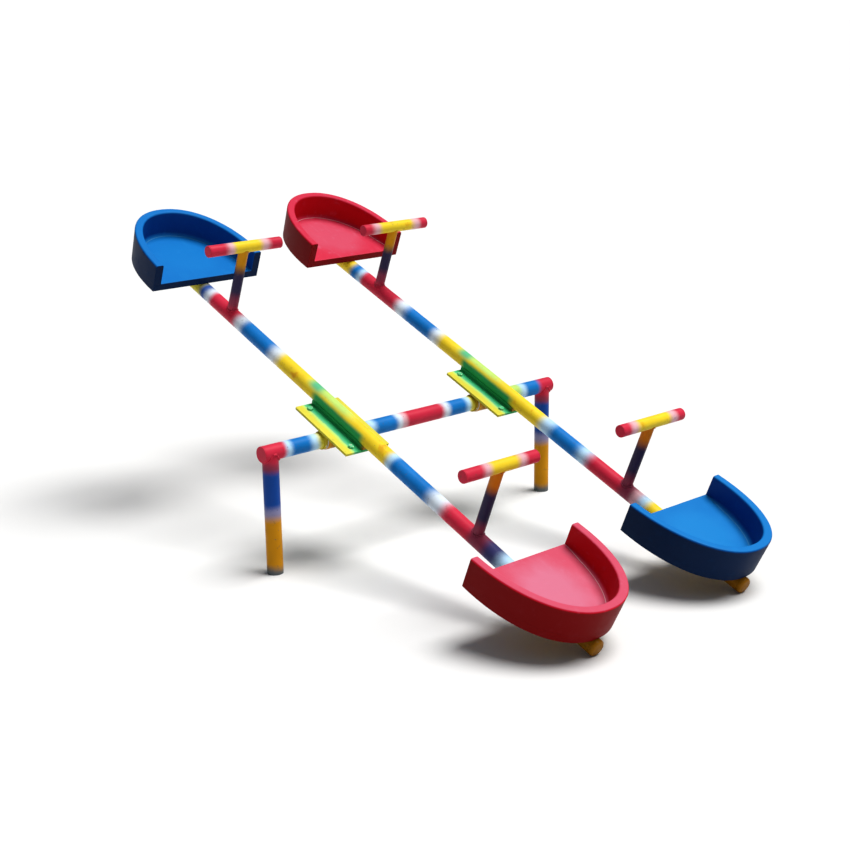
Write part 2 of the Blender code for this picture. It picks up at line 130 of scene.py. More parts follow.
class Graph:
    """Node graph of one material."""

    def __init__(self, name: str) -> None:
        """Start an empty material of the given name."""
        self.material = bpy.data.materials.new(name)
        self.material.use_nodes = True
        self.tree = self.material.node_tree
        self.tree.nodes.clear()

    def node(
        self, kind: str, settings: dict | None = None, inputs: dict | None = None, output: int = 0
    ) -> Wire | None:
        """Add a node.

        Args:
            kind: Node type.
            settings: Attributes set before the inputs. "stops" and "interpolation" go to a colour ramp.
            inputs: Values or wires, by input name or index.
            output: Index of the output to return.

        Returns:
            The chosen output, or nothing for a node that has none.
        """
        made = self.tree.nodes.new(kind)
        for name, value in (settings or {}).items():
            if name == "stops":
                self.set_stops(made.color_ramp, value)
            elif name == "interpolation":
                made.color_ramp.interpolation = value
            else:
                setattr(made, name, value)
        for key, value in (inputs or {}).items():
            if isinstance(value, Wire):
                self.tree.links.new(value.socket, made.inputs[key])
            else:
                made.inputs[key].default_value = value
        return Wire(self, made.outputs[output]) if made.outputs else None

    @staticmethod
    def set_stops(ramp: bpy.types.ColorRamp, stops: Sequence[tuple[float, Triple]]) -> None:
        """Give a colour ramp its stops, in order of position."""
        while len(ramp.elements) < len(stops):
            ramp.elements.new(1.0)
        for element, (position, colour) in zip(ramp.elements, stops):
            element.position = position
            element.color = (*colour, 1.0)

    def place(self) -> Wire:
        """Return the point's object coordinates."""
        return self.node("ShaderNodeTexCoord", output=3)

    def along(self, origin: Sequence[float], direction: Sequence[float]) -> Wire:
        """Return how far the point lies from an origin, measured along a direction."""
        offset = self.vector("SUBTRACT", self.place(), tuple(origin), 0)
        return self.vector("DOT_PRODUCT", offset, tuple(direction), 1)

    def vector(self, operation: str, first: Wire, second: Triple, output: int) -> Wire:
        """Add one Vector Math node and return its result."""
        inputs = {0: first, 1: second}
        return self.node("ShaderNodeVectorMath", {"operation": operation}, inputs, output)

    def noise(self, scale: float, detail: float = 2.0, stretch: Triple = (1, 1, 1)) -> Wire:
        """Return noise from 0 to 1, with `scale` cells to the metre, thinned or stretched by axis."""
        where = self.node("ShaderNodeMapping", inputs={"Vector": self.place(), "Scale": stretch})
        return self.node("ShaderNodeTexNoise", inputs={"Vector": where, "Scale": scale, "Detail": detail})

    def fade(self, value: Wire, start: float, end: float) -> Wire:
        """Return 0 before start and 1 past end, with a smooth step between. End may lie below start."""
        settings = {"interpolation_type": "SMOOTHSTEP"}
        inputs = {"Value": value, "From Min": start, "From Max": end}
        return self.node("ShaderNodeMapRange", settings, inputs)

    def mix(self, factor: Wire, first: Wire | Triple, second: Wire | Triple, blend: str = "MIX") -> Wire:
        """Mix two colours, each a wire or a linear triple."""
        colours = [item if isinstance(item, Wire) else (*item, 1.0) for item in (first, second)]
        settings = {"data_type": "RGBA", "blend_type": blend}
        return self.node("ShaderNodeMix", settings, {0: factor, 6: colours[0], 7: colours[1]}, 2)

    def relief(self, height: Wire, distance: float) -> Wire:
        """Return the normal of a surface raised by up to `distance` where the height is 1."""
        return self.node("ShaderNodeBump", inputs={"Height": height, "Distance": distance, "Strength": 1.0})

    def surface(self, **inputs: Wire | float | Sequence[float]) -> bpy.types.Material:
        """End the graph in a Principled surface, with underscores for the blanks in its input names."""
        named = {name.replace("_", " "): value for name, value in inputs.items()}
        shader = self.node("ShaderNodeBsdfPrincipled", inputs=named)
        self.node("ShaderNodeOutputMaterial", inputs={"Surface": shader})
        return self.material


# ---- finishes
class Coat(Enum):
    """Enamel colours, as linear red, green and blue; a few also stand for painted shade."""

    YELLOW = (0.78, 0.58, 0.030)
    AMBER = (0.60, 0.27, 0.004)
    ORANGE = (0.60, 0.19, 0.008)
    RED = (0.56, 0.030, 0.066)
    # Maroon enamel on the posts and legs; on the beams it is a painted shadow of the near handle posts.
    MAROON_AND_SHADOW = (0.26, 0.045, 0.085)
    PINK = (0.68, 0.40, 0.44)
    LAVENDER = (0.270, 0.260, 0.420)
    WHITE = (0.62, 0.70, 0.78)
    PALE = (0.44, 0.66, 0.84)
    BLUE = (0.010, 0.175, 0.500)
    NAVY = (0.009, 0.070, 0.320)
    PLUM = (0.036, 0.028, 0.075)
    INDIGO = (0.055, 0.055, 0.170)
    MINT = (0.110, 0.450, 0.230)
    GREEN = (0.030, 0.360, 0.120)
    TEAL = (0.050, 0.440, 0.180)
    LIME = (0.460, 0.660, 0.160)
    # Moss enamel; at the left beam's far end it is painted shade on the yellow.
    MOSS_AND_SHADE = (0.620, 0.560, 0.060)
    # Darkened amber, no enamel of its own: painted shade round the sleeves, at the saddles' near ends and
    # at the beams' near ends.
    SHADE_BROWN = (0.300, 0.130, 0.004)
    SLATE = (0.130, 0.145, 0.150)

    @property
    def is_light(self) -> bool:
        """Whether it is a pale coat, which is only full in the middle of its band."""
        return self in (Coat.WHITE, Coat.PALE, Coat.PINK, Coat.LAVENDER)


class Finish:
    """Base of every finish. It makes its material once and hands out the same one from then on."""

    made: ClassVar[dict[Finish, bpy.types.Material]] = {}

    def material(self) -> bpy.types.Material:
        """Return the finish's material."""
        if self not in Finish.made:
            Finish.made[self] = self.mix()
        return Finish.made[self]

    def mix(self) -> bpy.types.Material:
        """Build the material."""
        raise NotImplementedError


@dataclass(frozen=True)
class Band:
    """A stretch of one enamel, from `start` to `end` along the sprayed piece."""

    coat: Coat
    start: float
    end: float


def sprayed(start: float, *runs: tuple[Coat, float]) -> tuple[Band, ...]:
    """Return bands that follow on one another from a start, each given by its coat and its end."""
    ends = [end for _, end in runs]
    return tuple(Band(coat, low, end) for (coat, end), low in zip(runs, [start, *ends]))


@dataclass(frozen=True)
class Drift:
    """Enamel that drifted onto one side of a piece while its neighbour was sprayed."""

    coat: Coat
    start: float
    end: float
    side: Triple  # direction of the side that it lies on
    near: float  # distance along that direction where it starts to show
    full: float  # and where it covers
    fade: float = 0.030


@dataclass(frozen=True)
class SprayedEnamel(Finish):
    """Gloss enamel sprayed in bands along an axis, with soft and slightly uneven edges."""

    name: str
    origin: Triple
    axis: Triple
    bands: tuple[Band, ...]
    softness: float = 0.016
    drifts: tuple[Drift, ...] = ()
    edge_wander: float = 0.022
    spatter: float = 0.008
    roughness: float = 0.42

    def stops(self, colour: Callable[[Coat], Triple]) -> list[tuple[float, Triple]]:
        """Return ramp stops for the bands, from 0 at the first to 1 at the last, two to a wide band."""
        low = self.bands[0].start
        high = self.bands[-1].end
        found = []
        for band in self.bands:
            inset = 2 * self.softness if band.coat.is_light else self.softness
            spots = [band.start + inset, band.end - inset]
            if spots[1] <= spots[0]:
                spots = [(band.start + band.end) / 2]
            found += [((spot - low) / (high - low), colour(band.coat)) for spot in spots]
        return found

    def mix(self) -> bpy.types.Material:
        """Build the material."""
        graph = Graph(self.name)
        along = graph.along(self.origin, self.axis)
        wander = (graph.noise(16, 3) - 0.5) * self.edge_wander + (graph.noise(420, 1) - 0.5) * self.spatter
        low = self.bands[0].start
        high = self.bands[-1].end
        place = (along + wander - low) * (1 / (high - low))
        ramp = {"interpolation": "EASE", "stops": self.stops(lambda coat: coat.value)}
        colour = graph.node("ShaderNodeValToRGB", ramp, {"Fac": place})
        flat = {"stops": self.stops(lambda coat: (float(coat is Coat.YELLOW),) * 3)}
        yellow = graph.node("ShaderNodeValToRGB", flat, {"Fac": place})
        spots = graph.fade(graph.noise(34, 3), 0.56, 0.70) * graph.fade(graph.noise(9, 1), 0.42, 0.60)
        colour = graph.mix(spots * yellow * 0.55, colour, Coat.ORANGE.value)
        for drift in self.drifts:
            fade = drift.fade
            reach = graph.fade(along + wander, drift.start - fade, drift.start + fade)
            reach = reach * graph.fade(along + wander, drift.end + fade, drift.end - fade)
            side = graph.along(self.origin, drift.side) + wander * 0.3
            colour = graph.mix(reach * graph.fade(side, drift.near, drift.full), colour, drift.coat.value)
        cloud = graph.fade(graph.noise(11, 4), 0.25, 0.75)
        colour = graph.mix(0.20 * (1 - cloud), colour, (0.36, 0.30, 0.30), "MULTIPLY")
        grime = graph.fade(graph.noise(70, 5), 0.60, 0.74) * graph.fade(graph.noise(5, 2), 0.40, 0.62)
        colour = graph.mix(grime * 0.35, colour, (0.10, 0.085, 0.07))
        chips = graph.fade(graph.noise(150, 4), 0.705, 0.730)
        colour = graph.mix(chips * 0.8, colour, (0.11, 0.10, 0.095))
        roughness = self.roughness + 0.16 * (graph.noise(26, 4) - 0.5) + 0.25 * grime + 0.3 * chips
        skin = graph.noise(520, 2) * 0.35 + graph.noise(30, 2) * 1.2 - chips * 0.8
        normal = graph.relief(skin, 0.00016)
        return graph.surface(Base_Color=colour, Roughness=roughness, Normal=normal, Specular_IOR_Level=0.12)


@dataclass(frozen=True)
class MouldedPlastic(Finish):
    """Thick moulded plastic: painted shade on its walls, painted sheen on top, scuffed and polished by use.

    It reads the piece's painted-shade attribute: 0 on outer walls, 0.4 on inner ones and 1 on level faces.
    """

    name: str
    tones: tuple[Triple, ...]  # outer wall in painted shade, inner wall in lighter painted shade, lit level face, worn colour also used as painted sheen, painted crease highlight
    middle: Triple  # of the floor
    upward: Triple  # square to the floor
    sheen: float  # strength of the painted sheen on level faces and the floor's middle, from 0 to 1

    def mix(self) -> bpy.types.Material:
        """Build the material."""
        graph = Graph(self.name)
        outer, inner, level, worn_and_sheen, line = self.tones
        # Painted shade: outer walls darkest, inner walls lighter, faces turned up fully lit.
        tone = graph.node("ShaderNodeAttribute", {"attribute_name": "tone"}, output=2)
        mottle = (graph.noise(13, 4) - 0.5) * 0.22
        stops = {"stops": [(0.0, outer), (0.40, inner), (0.88, level)]}
        colour = graph.node("ShaderNodeValToRGB", stops, {"Fac": tone + mottle * tone})
        height = graph.along(self.middle, self.upward)
        reach = graph.vector("DISTANCE", graph.place(), self.middle, 1)
        floor_sheen = graph.fade(reach + (graph.noise(12, 3) - 0.5) * 0.10, 0.165, 0.060) * tone
        # Painted sheen: level faces, and more so the floor's middle, go pale towards the worn colour.
        colour = graph.mix(graph.fade(tone, 0.70, 0.92) * 0.34 * self.sheen, colour, worn_and_sheen)
        colour = graph.mix(floor_sheen * (0.16 + 0.54 * self.sheen), colour, worn_and_sheen)
        # Painted highlight: a fine pale line along the crease where the inner wall meets the floor.
        crease = graph.fade(abs(height - 0.0004), 0.0006, 0.0002)
        colour = graph.mix(crease * graph.fade(abs(tone - 0.96), 0.035, 0.030) * 0.85, colour, line)
        streaks = graph.fade(graph.noise(60, 4, (1.0, 0.16, 0.5)), 0.54, 0.80)
        colour = graph.mix(streaks * (0.02 + 0.12 * tone), colour, worn_and_sheen)
        scuffs = graph.fade(graph.noise(44, 5), 0.58, 0.74)
        colour = graph.mix(scuffs * (0.025 + 0.20 * tone), colour, worn_and_sheen)
        specks = graph.fade(graph.noise(330, 3), 0.70, 0.74)
        colour = graph.mix(specks * 0.30, colour, outer)
        roughness = 0.50 + 0.16 * (graph.noise(15, 4) - 0.5) - 0.08 * floor_sheen + 0.14 * scuffs
        skin = graph.noise(640, 2) * 0.30 + graph.noise(9, 2) * 3.0 - streaks * 0.25 + crease * 1.5
        normal = graph.relief(skin, 0.00020)
        return graph.surface(Base_Color=colour, Roughness=roughness, Normal=normal, Specular_IOR_Level=0.08)


@dataclass(frozen=True)
class PlatedSteel(Finish):
    """Zinc-plated fastener steel with faint passivation colour, dull patches and specks of rust."""

    name: str = "zinc_plated_steel"
    colour: Triple = (0.62, 0.60, 0.54)
    oversprayed: float = 0.0  # how much of it the enamel around it covers

    def mix(self) -> bpy.types.Material:
        """Build the material."""
        graph = Graph(self.name)
        tint = graph.fade(graph.noise(160, 3), 0.35, 0.70)
        colour = graph.mix(tint * 0.5, self.colour, (0.56, 0.50, 0.34))
        rust = graph.fade(graph.noise(420, 5), 0.60, 0.72)
        colour = graph.mix(rust * 0.6, colour, (0.19, 0.075, 0.03))
        roughness = 0.30 + 0.22 * graph.noise(210, 4) + 0.3 * rust
        normal = graph.relief(graph.noise(900, 3), 0.00006)
        bare = 1.0 - rust
        if self.oversprayed:
            missed = graph.fade(graph.noise(240, 3), self.oversprayed - 0.06, self.oversprayed + 0.06)
            colour = graph.mix(missed, Coat.TEAL.value, colour)
            bare = bare * missed
        return graph.surface(Base_Color=colour, Roughness=roughness, Metallic=bare, Normal=normal)


@dataclass(frozen=True)
class MachinedNylon(Finish):
    """Cream nylon with fine turning marks and grease in the pores."""

    name: str = "machined_nylon"

    def mix(self) -> bpy.types.Material:
        """Build the material."""
        graph = Graph(self.name)
        grease = graph.fade(graph.noise(60, 5), 0.48, 0.70)
        colour = graph.mix(grease * 0.7, (0.66, 0.63, 0.54), (0.16, 0.13, 0.09))
        roughness = 0.52 - 0.25 * grease
        normal = graph.relief(graph.noise(2600, 1, (0.05, 1, 1)), 0.00005)
        return graph.surface(Base_Color=colour, Roughness=roughness, Normal=normal, Subsurface_Weight=0.1)


@dataclass(frozen=True)
class StudioFloor(Finish):
    """Plain pale matt floor."""

    name: str = "studio_floor"
    colour: Triple = (0.66, 0.66, 0.66)
    shade: Triple = (0.645, 0.645, 0.645)

    def mix(self) -> bpy.types.Material:
        """Build the material."""
        graph = Graph(self.name)
        colour = graph.mix(graph.noise(0.7, 2) * 0.5, self.colour, self.shade)
        return graph.surface(Base_Color=colour, Roughness=0.9, Specular_IOR_Level=0.1)


# ---- places
@dataclass(frozen=True)
class Box:
    """Lowest and highest corner of a node in some axes."""

    low: Vector
    high: Vector

    @property
    def middle(self) -> Vector:
        """Centre of the box."""
        return (self.low + self.high) / 2

    @property
    def size(self) -> Vector:
        """Lengths of the box's sides."""
        return self.high - self.low


@dataclass(frozen=True)
class Axes:
    """A set of working axes on one body of the frame."""

    body: str
    matrix: Matrix
    nodes: dict

    def box(self, node: str) -> Box:
        """Return the box of a CAD node, measured along these axes."""
        back = self.matrix.inverted()
        spots = [back @ vertex.co for vertex in self.nodes[node].data.vertices]
        low = Vector([min(spot[i] for spot in spots) for i in range(3)])
        high = Vector([max(spot[i] for spot in spots) for i in range(3)])
        return Box(low, high)

    def moved(self, matrix: Matrix) -> Axes:
        """Return axes on the same body, moved or turned within these."""
        return Axes(self.body, self.matrix @ matrix, self.nodes)

    def spot(self, x: float = 0.0, y: float = 0.0, z: float = 0.0) -> Triple:
        """Return a point of these axes in the frame's axes."""
        return tuple(self.matrix @ Vector((x, y, z)))

    def toward(self, x: float = 0.0, y: float = 0.0, z: float = 0.0) -> Triple:
        """Return a direction of these axes in the frame's axes, one unit long."""
        return tuple((self.matrix.to_3x3() @ Vector((x, y, z))).normalized())


def shift(x: float = 0.0, y: float = 0.0, z: float = 0.0) -> Matrix:
    """Return the matrix that moves a shape."""
    return Matrix.Translation((x, y, z))


ALONG_X = Matrix.Rotation(math.pi / 2, 4, "Y")  # turns a shape made along Z to lie along X
ALONG_Y = Matrix.Rotation(-math.pi / 2, 4, "X")
AGAINST_X = Matrix.Rotation(-math.pi / 2, 4, "Y")
AGAINST_Y = Matrix.Rotation(math.pi / 2, 4, "X")
TURN_ABOUT = Matrix.Rotation(math.pi, 4, "Z")


# ---- shaping
def arc(middle: tuple[float, float], radius: float, start: float, end: float, steps: int) -> Profile:
    """Return points of an arc, with its angles in degrees from the first axis."""
    points = []
    for step in range(steps + 1):
        angle = math.radians(start + (end - start) * step / steps)
        points.append((middle[0] + radius * math.cos(angle), middle[1] + radius * math.sin(angle)))
    return points


def evenly(points: Profile, steps: int) -> Profile:
    """Return points spaced evenly along an open line, with its ends kept."""
    runs = [math.dist(*pair) for pair in zip(points, points[1:])]
    found = [points[0]]
    index = 0
    walked = 0.0
    for step in range(1, steps):
        goal = sum(runs) * step / steps
        while walked + runs[index] < goal:
            walked += runs[index]
            index += 1
        spot = Vector(points[index]).lerp(Vector(points[index + 1]), (goal - walked) / runs[index])
        found.append(tuple(spot))
    found.append(points[-1])
    return found


def tube_profile(inner: float, outer: float, low: float, high: float, edge: float = CUT_EDGE) -> Profile:
    """Return the section of a tube along Z, with small roundings on its outer edges."""
    return [
        (inner, low),
        *arc((outer - edge, low + edge), edge, -90, 0, 3),
        *arc((outer - edge, high - edge), edge, 0, 90, 3),
        (inner, high),
    ]


def plug_profile(
    radius: float, wall: float, tail: float, seam: float, lip: float, face: Profile
) -> Profile:
    """Return the section of a tube's plug along Z.

    Args:
        radius: Outer radius of the tube.
        wall: The tube's wall.
        tail: Height of the spigot's end, inside the tube.
        seam: Height of the plug's shoulder.
        lip: Rounding of the shoulder's edge.
        face: Rest of the section, from the side to the middle of the outer face.

    Returns:
        Points from axis to axis.
    """
    spigot = radius - wall - PLUG_PLAY
    shoulder = arc((radius - lip, seam + lip), lip, -90, 0, 2)
    return [(0.0, tail), (spigot, tail), (spigot, seam), *shoulder, *face]


class Blank:
    """A piece while it is being shaped with mesh operators."""

    def __init__(self) -> None:
        """Start with nothing."""
        self.work = bmesh.new()

    def _added(self, before: set[bmesh.types.BMVert], matrix: Matrix) -> list[bmesh.types.BMVert]:
        """Place the vertices that an operator has just added, and return them."""
        added = [vertex for vertex in self.work.verts if vertex not in before]
        bmesh.ops.transform(self.work, matrix=matrix, verts=added)
        return added

    def turn(self, profile: Profile, matrix: Matrix = Matrix(), steps: int = ROUND_STEPS) -> list:
        """Spin a profile of (radius, height) points about Z.

        Args:
            profile: Outline of half the section. It is closed unless it starts and ends on the axis.
            matrix: Where the turned shape goes.
            steps: Facets round it.

        Returns:
            Its vertices.
        """
        before = set(self.work.verts)
        points = [self.work.verts.new((radius, 0, height)) for radius, height in profile]
        pairs = list(zip(points, points[1:]))
        if max(profile[0][0], profile[-1][0]) > 0:
            pairs.append((points[-1], points[0]))
        edges = [self.work.edges.new(pair) for pair in pairs]
        circle = {"axis": (0, 0, 1), "cent": (0, 0, 0), "angle": math.tau, "steps": steps}
        bmesh.ops.spin(self.work, geom=points + edges, use_merge=True, **circle)
        added = [vertex for vertex in self.work.verts if vertex not in before]
        bmesh.ops.remove_doubles(self.work, verts=added, dist=1e-6)
        return self._added(before, matrix)

    def block(self, low: Sequence[float], high: Sequence[float], corner: float = 0.0) -> None:
        """Add a box with rounded edges.

        Args:
            low: Lowest corner.
            high: Highest corner.
            corner: Larger radius of its four upright edges, if they have one.
        """
        before = set(self.work.verts)
        middle = (Vector(low) + Vector(high)) / 2
        size = Vector(high) - Vector(low)
        bmesh.ops.create_cube(self.work, size=1, matrix=Matrix.LocRotScale(middle, None, size))
        added = [vertex for vertex in self.work.verts if vertex not in before]
        if corner:
            upright = [edge for edge in self._edges(added) if self._runs_along_z(edge)]
            self.soften(upright, corner, 5)
            added = [vertex for vertex in self.work.verts if vertex not in before]
        sharp = [edge for edge in self._edges(added) if edge.calc_face_angle(0) > SMOOTH_ANGLE]
        self.soften(sharp, EDGE, 2)

    @staticmethod
    def _edges(verts: Iterable[bmesh.types.BMVert]) -> list[bmesh.types.BMEdge]:
        """Return the edges between some vertices, in a fixed order."""
        return list(dict.fromkeys(edge for vertex in verts for edge in vertex.link_edges))

    @staticmethod
    def _runs_along_z(edge: bmesh.types.BMEdge) -> bool:
        """Tell whether an edge is upright."""
        run = edge.verts[0].co - edge.verts[1].co
        return abs(run.x) + abs(run.y) < 1e-6

    def soften(self, edges: Sequence[bmesh.types.BMEdge], radius: float, segments: int) -> None:
        """Round some edges."""
        bmesh.ops.bevel(
            self.work,
            geom=list(edges),
            offset=radius,
            offset_type="OFFSET",
            segments=segments,
            profile=0.5,
            affect="EDGES",
            clamp_overlap=True,
            material=-1,
        )

    def bar(self, outline: Profile, low: float, high: float) -> None:
        """Extrude an (x, z) outline along Y, from low to high."""
        corners = [self.work.verts.new((x, low, z)) for x, z in outline]
        face = self.work.faces.new(corners)
        moved = bmesh.ops.extrude_face_region(self.work, geom=[face])["geom"]
        ends = [item for item in moved if isinstance(item, bmesh.types.BMVert)]
        bmesh.ops.translate(self.work, verts=ends, vec=(0, high - low, 0))

    def hexagon(self, flats: float, low: float, high: float, matrix: Matrix) -> None:
        """Add a bolt head or nut along Z, whose corners are turned down at the high end."""
        before = set(self.work.verts)
        apothem = flats / 2
        bmesh.ops.create_circle(self.work, segments=48, radius=1, cap_ends=True)
        ring = [vertex for vertex in self.work.verts if vertex not in before]
        face = ring[0].link_faces[0]
        for vertex in ring:
            angle = math.atan2(vertex.co.y, vertex.co.x)
            reach = apothem / math.cos(angle % (math.pi / 3) - math.pi / 6)
            vertex.co = Vector((reach * math.cos(angle), reach * math.sin(angle), low))
        sides = bmesh.ops.extrude_face_region(self.work, geom=[face])["geom"]
        top = [item for item in sides if isinstance(item, bmesh.types.BMFace)][0]
        for vertex in top.verts:
            vertex.co.z = high - 0.55 * (vertex.co.to_2d().length - 0.94 * apothem)
        crown = bmesh.ops.extrude_face_region(self.work, geom=[top])["geom"]
        for vertex in (item for item in crown if isinstance(item, bmesh.types.BMVert)):
            flat = vertex.co.to_2d().normalized() * 0.94 * apothem
            vertex.co = Vector((flat.x, flat.y, high))
        self._added(before, matrix)

    def bead(self, low: float, high: float, radius: float, matrix: Matrix) -> None:
        """Add a straight weld bead along Z, rippled and tapered at both ends."""
        count = max(8, round((high - low) / RIPPLE * 4))
        profile = [(0.0, low)]
        for step in range(1, count):
            along = step / count
            taper = min(1.0, 6 * min(along, 1 - along)) ** 0.5
            swell = 1 + 0.10 * math.cos(step * math.pi / 2) + 0.05 * math.sin(step * 0.37)
            profile.append((radius * taper * swell, low + (high - low) * along))
        profile.append((0.0, high))
        self.turn(profile, matrix, 12)

    def ring_bead(
        self, radius: float, thickness: float, matrix: Matrix, drop: Callable[[float], float]
    ) -> None:
        """Add a weld bead round Z.

        Args:
            radius: Radius of the ring.
            thickness: Radius of the bead.
            matrix: Where the ring goes.
            drop: Height of the surface it lies on, by x.
        """
        ripples = round(math.tau * radius / RIPPLE)
        profile = arc((radius, 0), thickness, 0, 330, 11)
        for vertex in self.turn(profile, Matrix(), 4 * ripples):
            angle = math.atan2(vertex.co.y, vertex.co.x)
            core = Vector((radius * math.cos(angle), radius * math.sin(angle), 0))
            swell = 1 + 0.10 * math.cos(ripples * angle) + 0.06 * math.sin(3 * angle + radius * 100)
            vertex.co = core + (vertex.co - core) * swell
            vertex.co.z += drop(core.x)
            vertex.co = matrix @ vertex.co

    def finish(self, name: str, axes: Axes, look: Finish, slot: str, *stands_for: str) -> None:
        """Turn the shape into a finished piece.

        Args:
            name: Name of the piece.
            axes: Axes that it was shaped in.
            look: Its finish.
            slot: The record's material slot; not used.
            stands_for: CAD nodes that it replaces.
        """
        bmesh.ops.recalc_face_normals(self.work, faces=self.work.faces)
        bmesh.ops.transform(self.work, matrix=axes.matrix, verts=self.work.verts)
        mesh = bpy.data.meshes.new(name)
        self.work.to_mesh(mesh)
        self.work.free()
        mesh.shade_smooth()
        mesh.set_sharp_from_angle(angle=SMOOTH_ANGLE)
        mesh.materials.append(look.material())
        piece = bpy.data.objects.new(name, mesh)
        bpy.context.scene.collection.objects.link(piece)
        level = piece.modifiers.new("level_shading", "WEIGHTED_NORMAL")
        level.keep_sharp = True
        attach(piece, axes.body)
        if stands_for:
            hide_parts(*stands_for)
        LOG.info("%s: %d faces on %s", name, len(mesh.polygons), axes.body)


def saddle_height(radius: float) -> Callable[[float], float]:
    """Return the height of a lying tube's surface over its axis, by the distance across it."""
    return lambda across: math.sqrt(max(0.0, radius * radius - across * across))


# ---- fixed frame
@dataclass(frozen=True)
class Stand:
    """The crossbar, its two legs and the collars that keep the bearings in place."""

    axes: Axes  # at the middle of the crossbar
    wall: float = 0.0032
    cap_thickness: float = 0.004
    cap_spigot: float = 0.012
    cap_rounding: float = 0.0015
    weld: float = 0.0034

    def enamel(self) -> SprayedEnamel:
        """Return the crossbar's bands, from the left end to the right."""
        # The brown bands round each sleeve are painted shade on the crossbar and the collars.
        bands = sprayed(
            -0.620,
            (Coat.RED, -0.536), (Coat.PALE, -0.520), (Coat.BLUE, -0.438), (Coat.PALE, -0.416),
            (Coat.MOSS_AND_SHADE, -0.396), (Coat.SHADE_BROWN, -0.222), (Coat.PALE, -0.192), (Coat.BLUE, -0.094),
            (Coat.WHITE, -0.078), (Coat.PINK, -0.062), (Coat.RED, 0.102), (Coat.WHITE, 0.124),
            (Coat.BLUE, 0.206), (Coat.PALE, 0.222), (Coat.MOSS_AND_SHADE, 0.236), (Coat.SHADE_BROWN, 0.400),
            (Coat.LIME, 0.462), (Coat.PALE, 0.480), (Coat.BLUE, 0.552), (Coat.RED, 0.620),
        )
        return SprayedEnamel("crossbar_enamel", self.axes.spot(), self.axes.toward(x=1), bands)

    def leg_enamel(self) -> SprayedEnamel:
        """Return the legs' bands, from the ground up."""
        top = self.axes.spot()[2]
        bands = sprayed(
            -0.010,
            (Coat.SLATE, 0.022), (Coat.AMBER, 0.182), (Coat.LAVENDER, 0.214), (Coat.NAVY, 0.330),
            (Coat.MAROON_AND_SHADOW, 0.352), (Coat.RED, top + 0.040),
        )
        return SprayedEnamel("leg_enamel", (0, 0, 0), (0, 0, 1), bands)

    def crossbar(self) -> None:
        """Build the crossbar's tube and the disc in each of its ends."""
        paint = self.enamel()
        box = self.axes.box("crossbar")
        radius = box.size.z / 2
        blank = Blank()
        blank.turn(tube_profile(radius - self.wall, radius, box.low.x, box.high.x), ALONG_X)
        blank.finish("crossbar_tube", self.axes, paint, "red_paint", "crossbar")
        for side, turn in (("left", AGAINST_X), ("right", ALONG_X)):
            end = self.axes.box(f"crossbar_cap_{side}")
            reach = max(-end.low.x, end.high.x)
            seam = reach - self.cap_thickness
            rounding = self.cap_rounding
            crown = [*arc((radius - rounding, reach - rounding), rounding, 0, 90, 5), (0.0, reach)]
            blank = Blank()
            tail = seam - self.cap_spigot
            blank.turn(plug_profile(radius, self.wall, tail, seam, 0.0005, crown), turn)
            blank.finish(f"crossbar_end_{side}", self.axes, paint, "red_paint", f"crossbar_cap_{side}")

    def leg(self, side: str) -> None:
        """Build a leg, coped to the crossbar, and the weld between them."""
        paint = self.leg_enamel()
        box = self.axes.box(f"leg_{side}")
        radius = box.size.x / 2
        bar = self.axes.box("crossbar").size.z / 2
        middle = box.middle.x
        cope = saddle_height(bar)
        blank = Blank()
        for vertex in blank.turn(tube_profile(radius - self.wall, radius, box.low.z, -0.004, 0.0005)):
            if vertex.co.z > -0.02:
                vertex.co.z = -cope(vertex.co.y)
            vertex.co.x += middle
        blank.finish(f"leg_tube_{side}", self.axes, paint, "amber_paint", f"leg_{side}")
        blank = Blank()
        turn = shift(middle) @ Matrix.Rotation(math.pi / 2, 4, "Z")
        blank.ring_bead(radius + 0.0006, self.weld, turn, lambda across: -cope(across) - 0.0008)
        blank.finish(f"leg_weld_{side}", self.axes, paint, "red_paint")

    def collar(self, side: str, place: str) -> None:
        """Build a collar and its grub screw."""
        name = f"collar_{side}_{place}"
        box = self.axes.box(name)
        outer = box.size.z / 2
        inner = self.axes.box("crossbar").size.z / 2 + 0.0002
        profile = tube_profile(inner, outer, box.low.x, box.high.x, 0.0012)
        blank = Blank()
        blank.turn(profile, ALONG_X)
        blank.finish(f"collar_ring_{side}_{place}", self.axes, self.enamel(), "yellow_paint", name)
        blank = Blank()
        seat = shift(box.middle.x) @ Matrix.Rotation(math.radians(118), 4, "X")
        rise = outer + 0.0006
        profile = [
            (0.0, outer - 0.004),
            (0.0028, outer - 0.004),
            *arc((0.0022, rise - 0.0006), 0.0006, 0, 90, 3),
            (0.0013, rise),
            (0.0013, rise - 0.0014),
            (0.0, rise - 0.0016),
        ]
        blank.turn(profile, seat, 24)
        blank.finish(f"collar_screw_{side}_{place}", self.axes, PlatedSteel(), "zinc")

    def build(self) -> None:
        """Build every fixed piece."""
        self.crossbar()
        for side in ("left", "right"):
            self.leg(side)
            for place in ("inner", "outer"):
                self.collar(side, place)


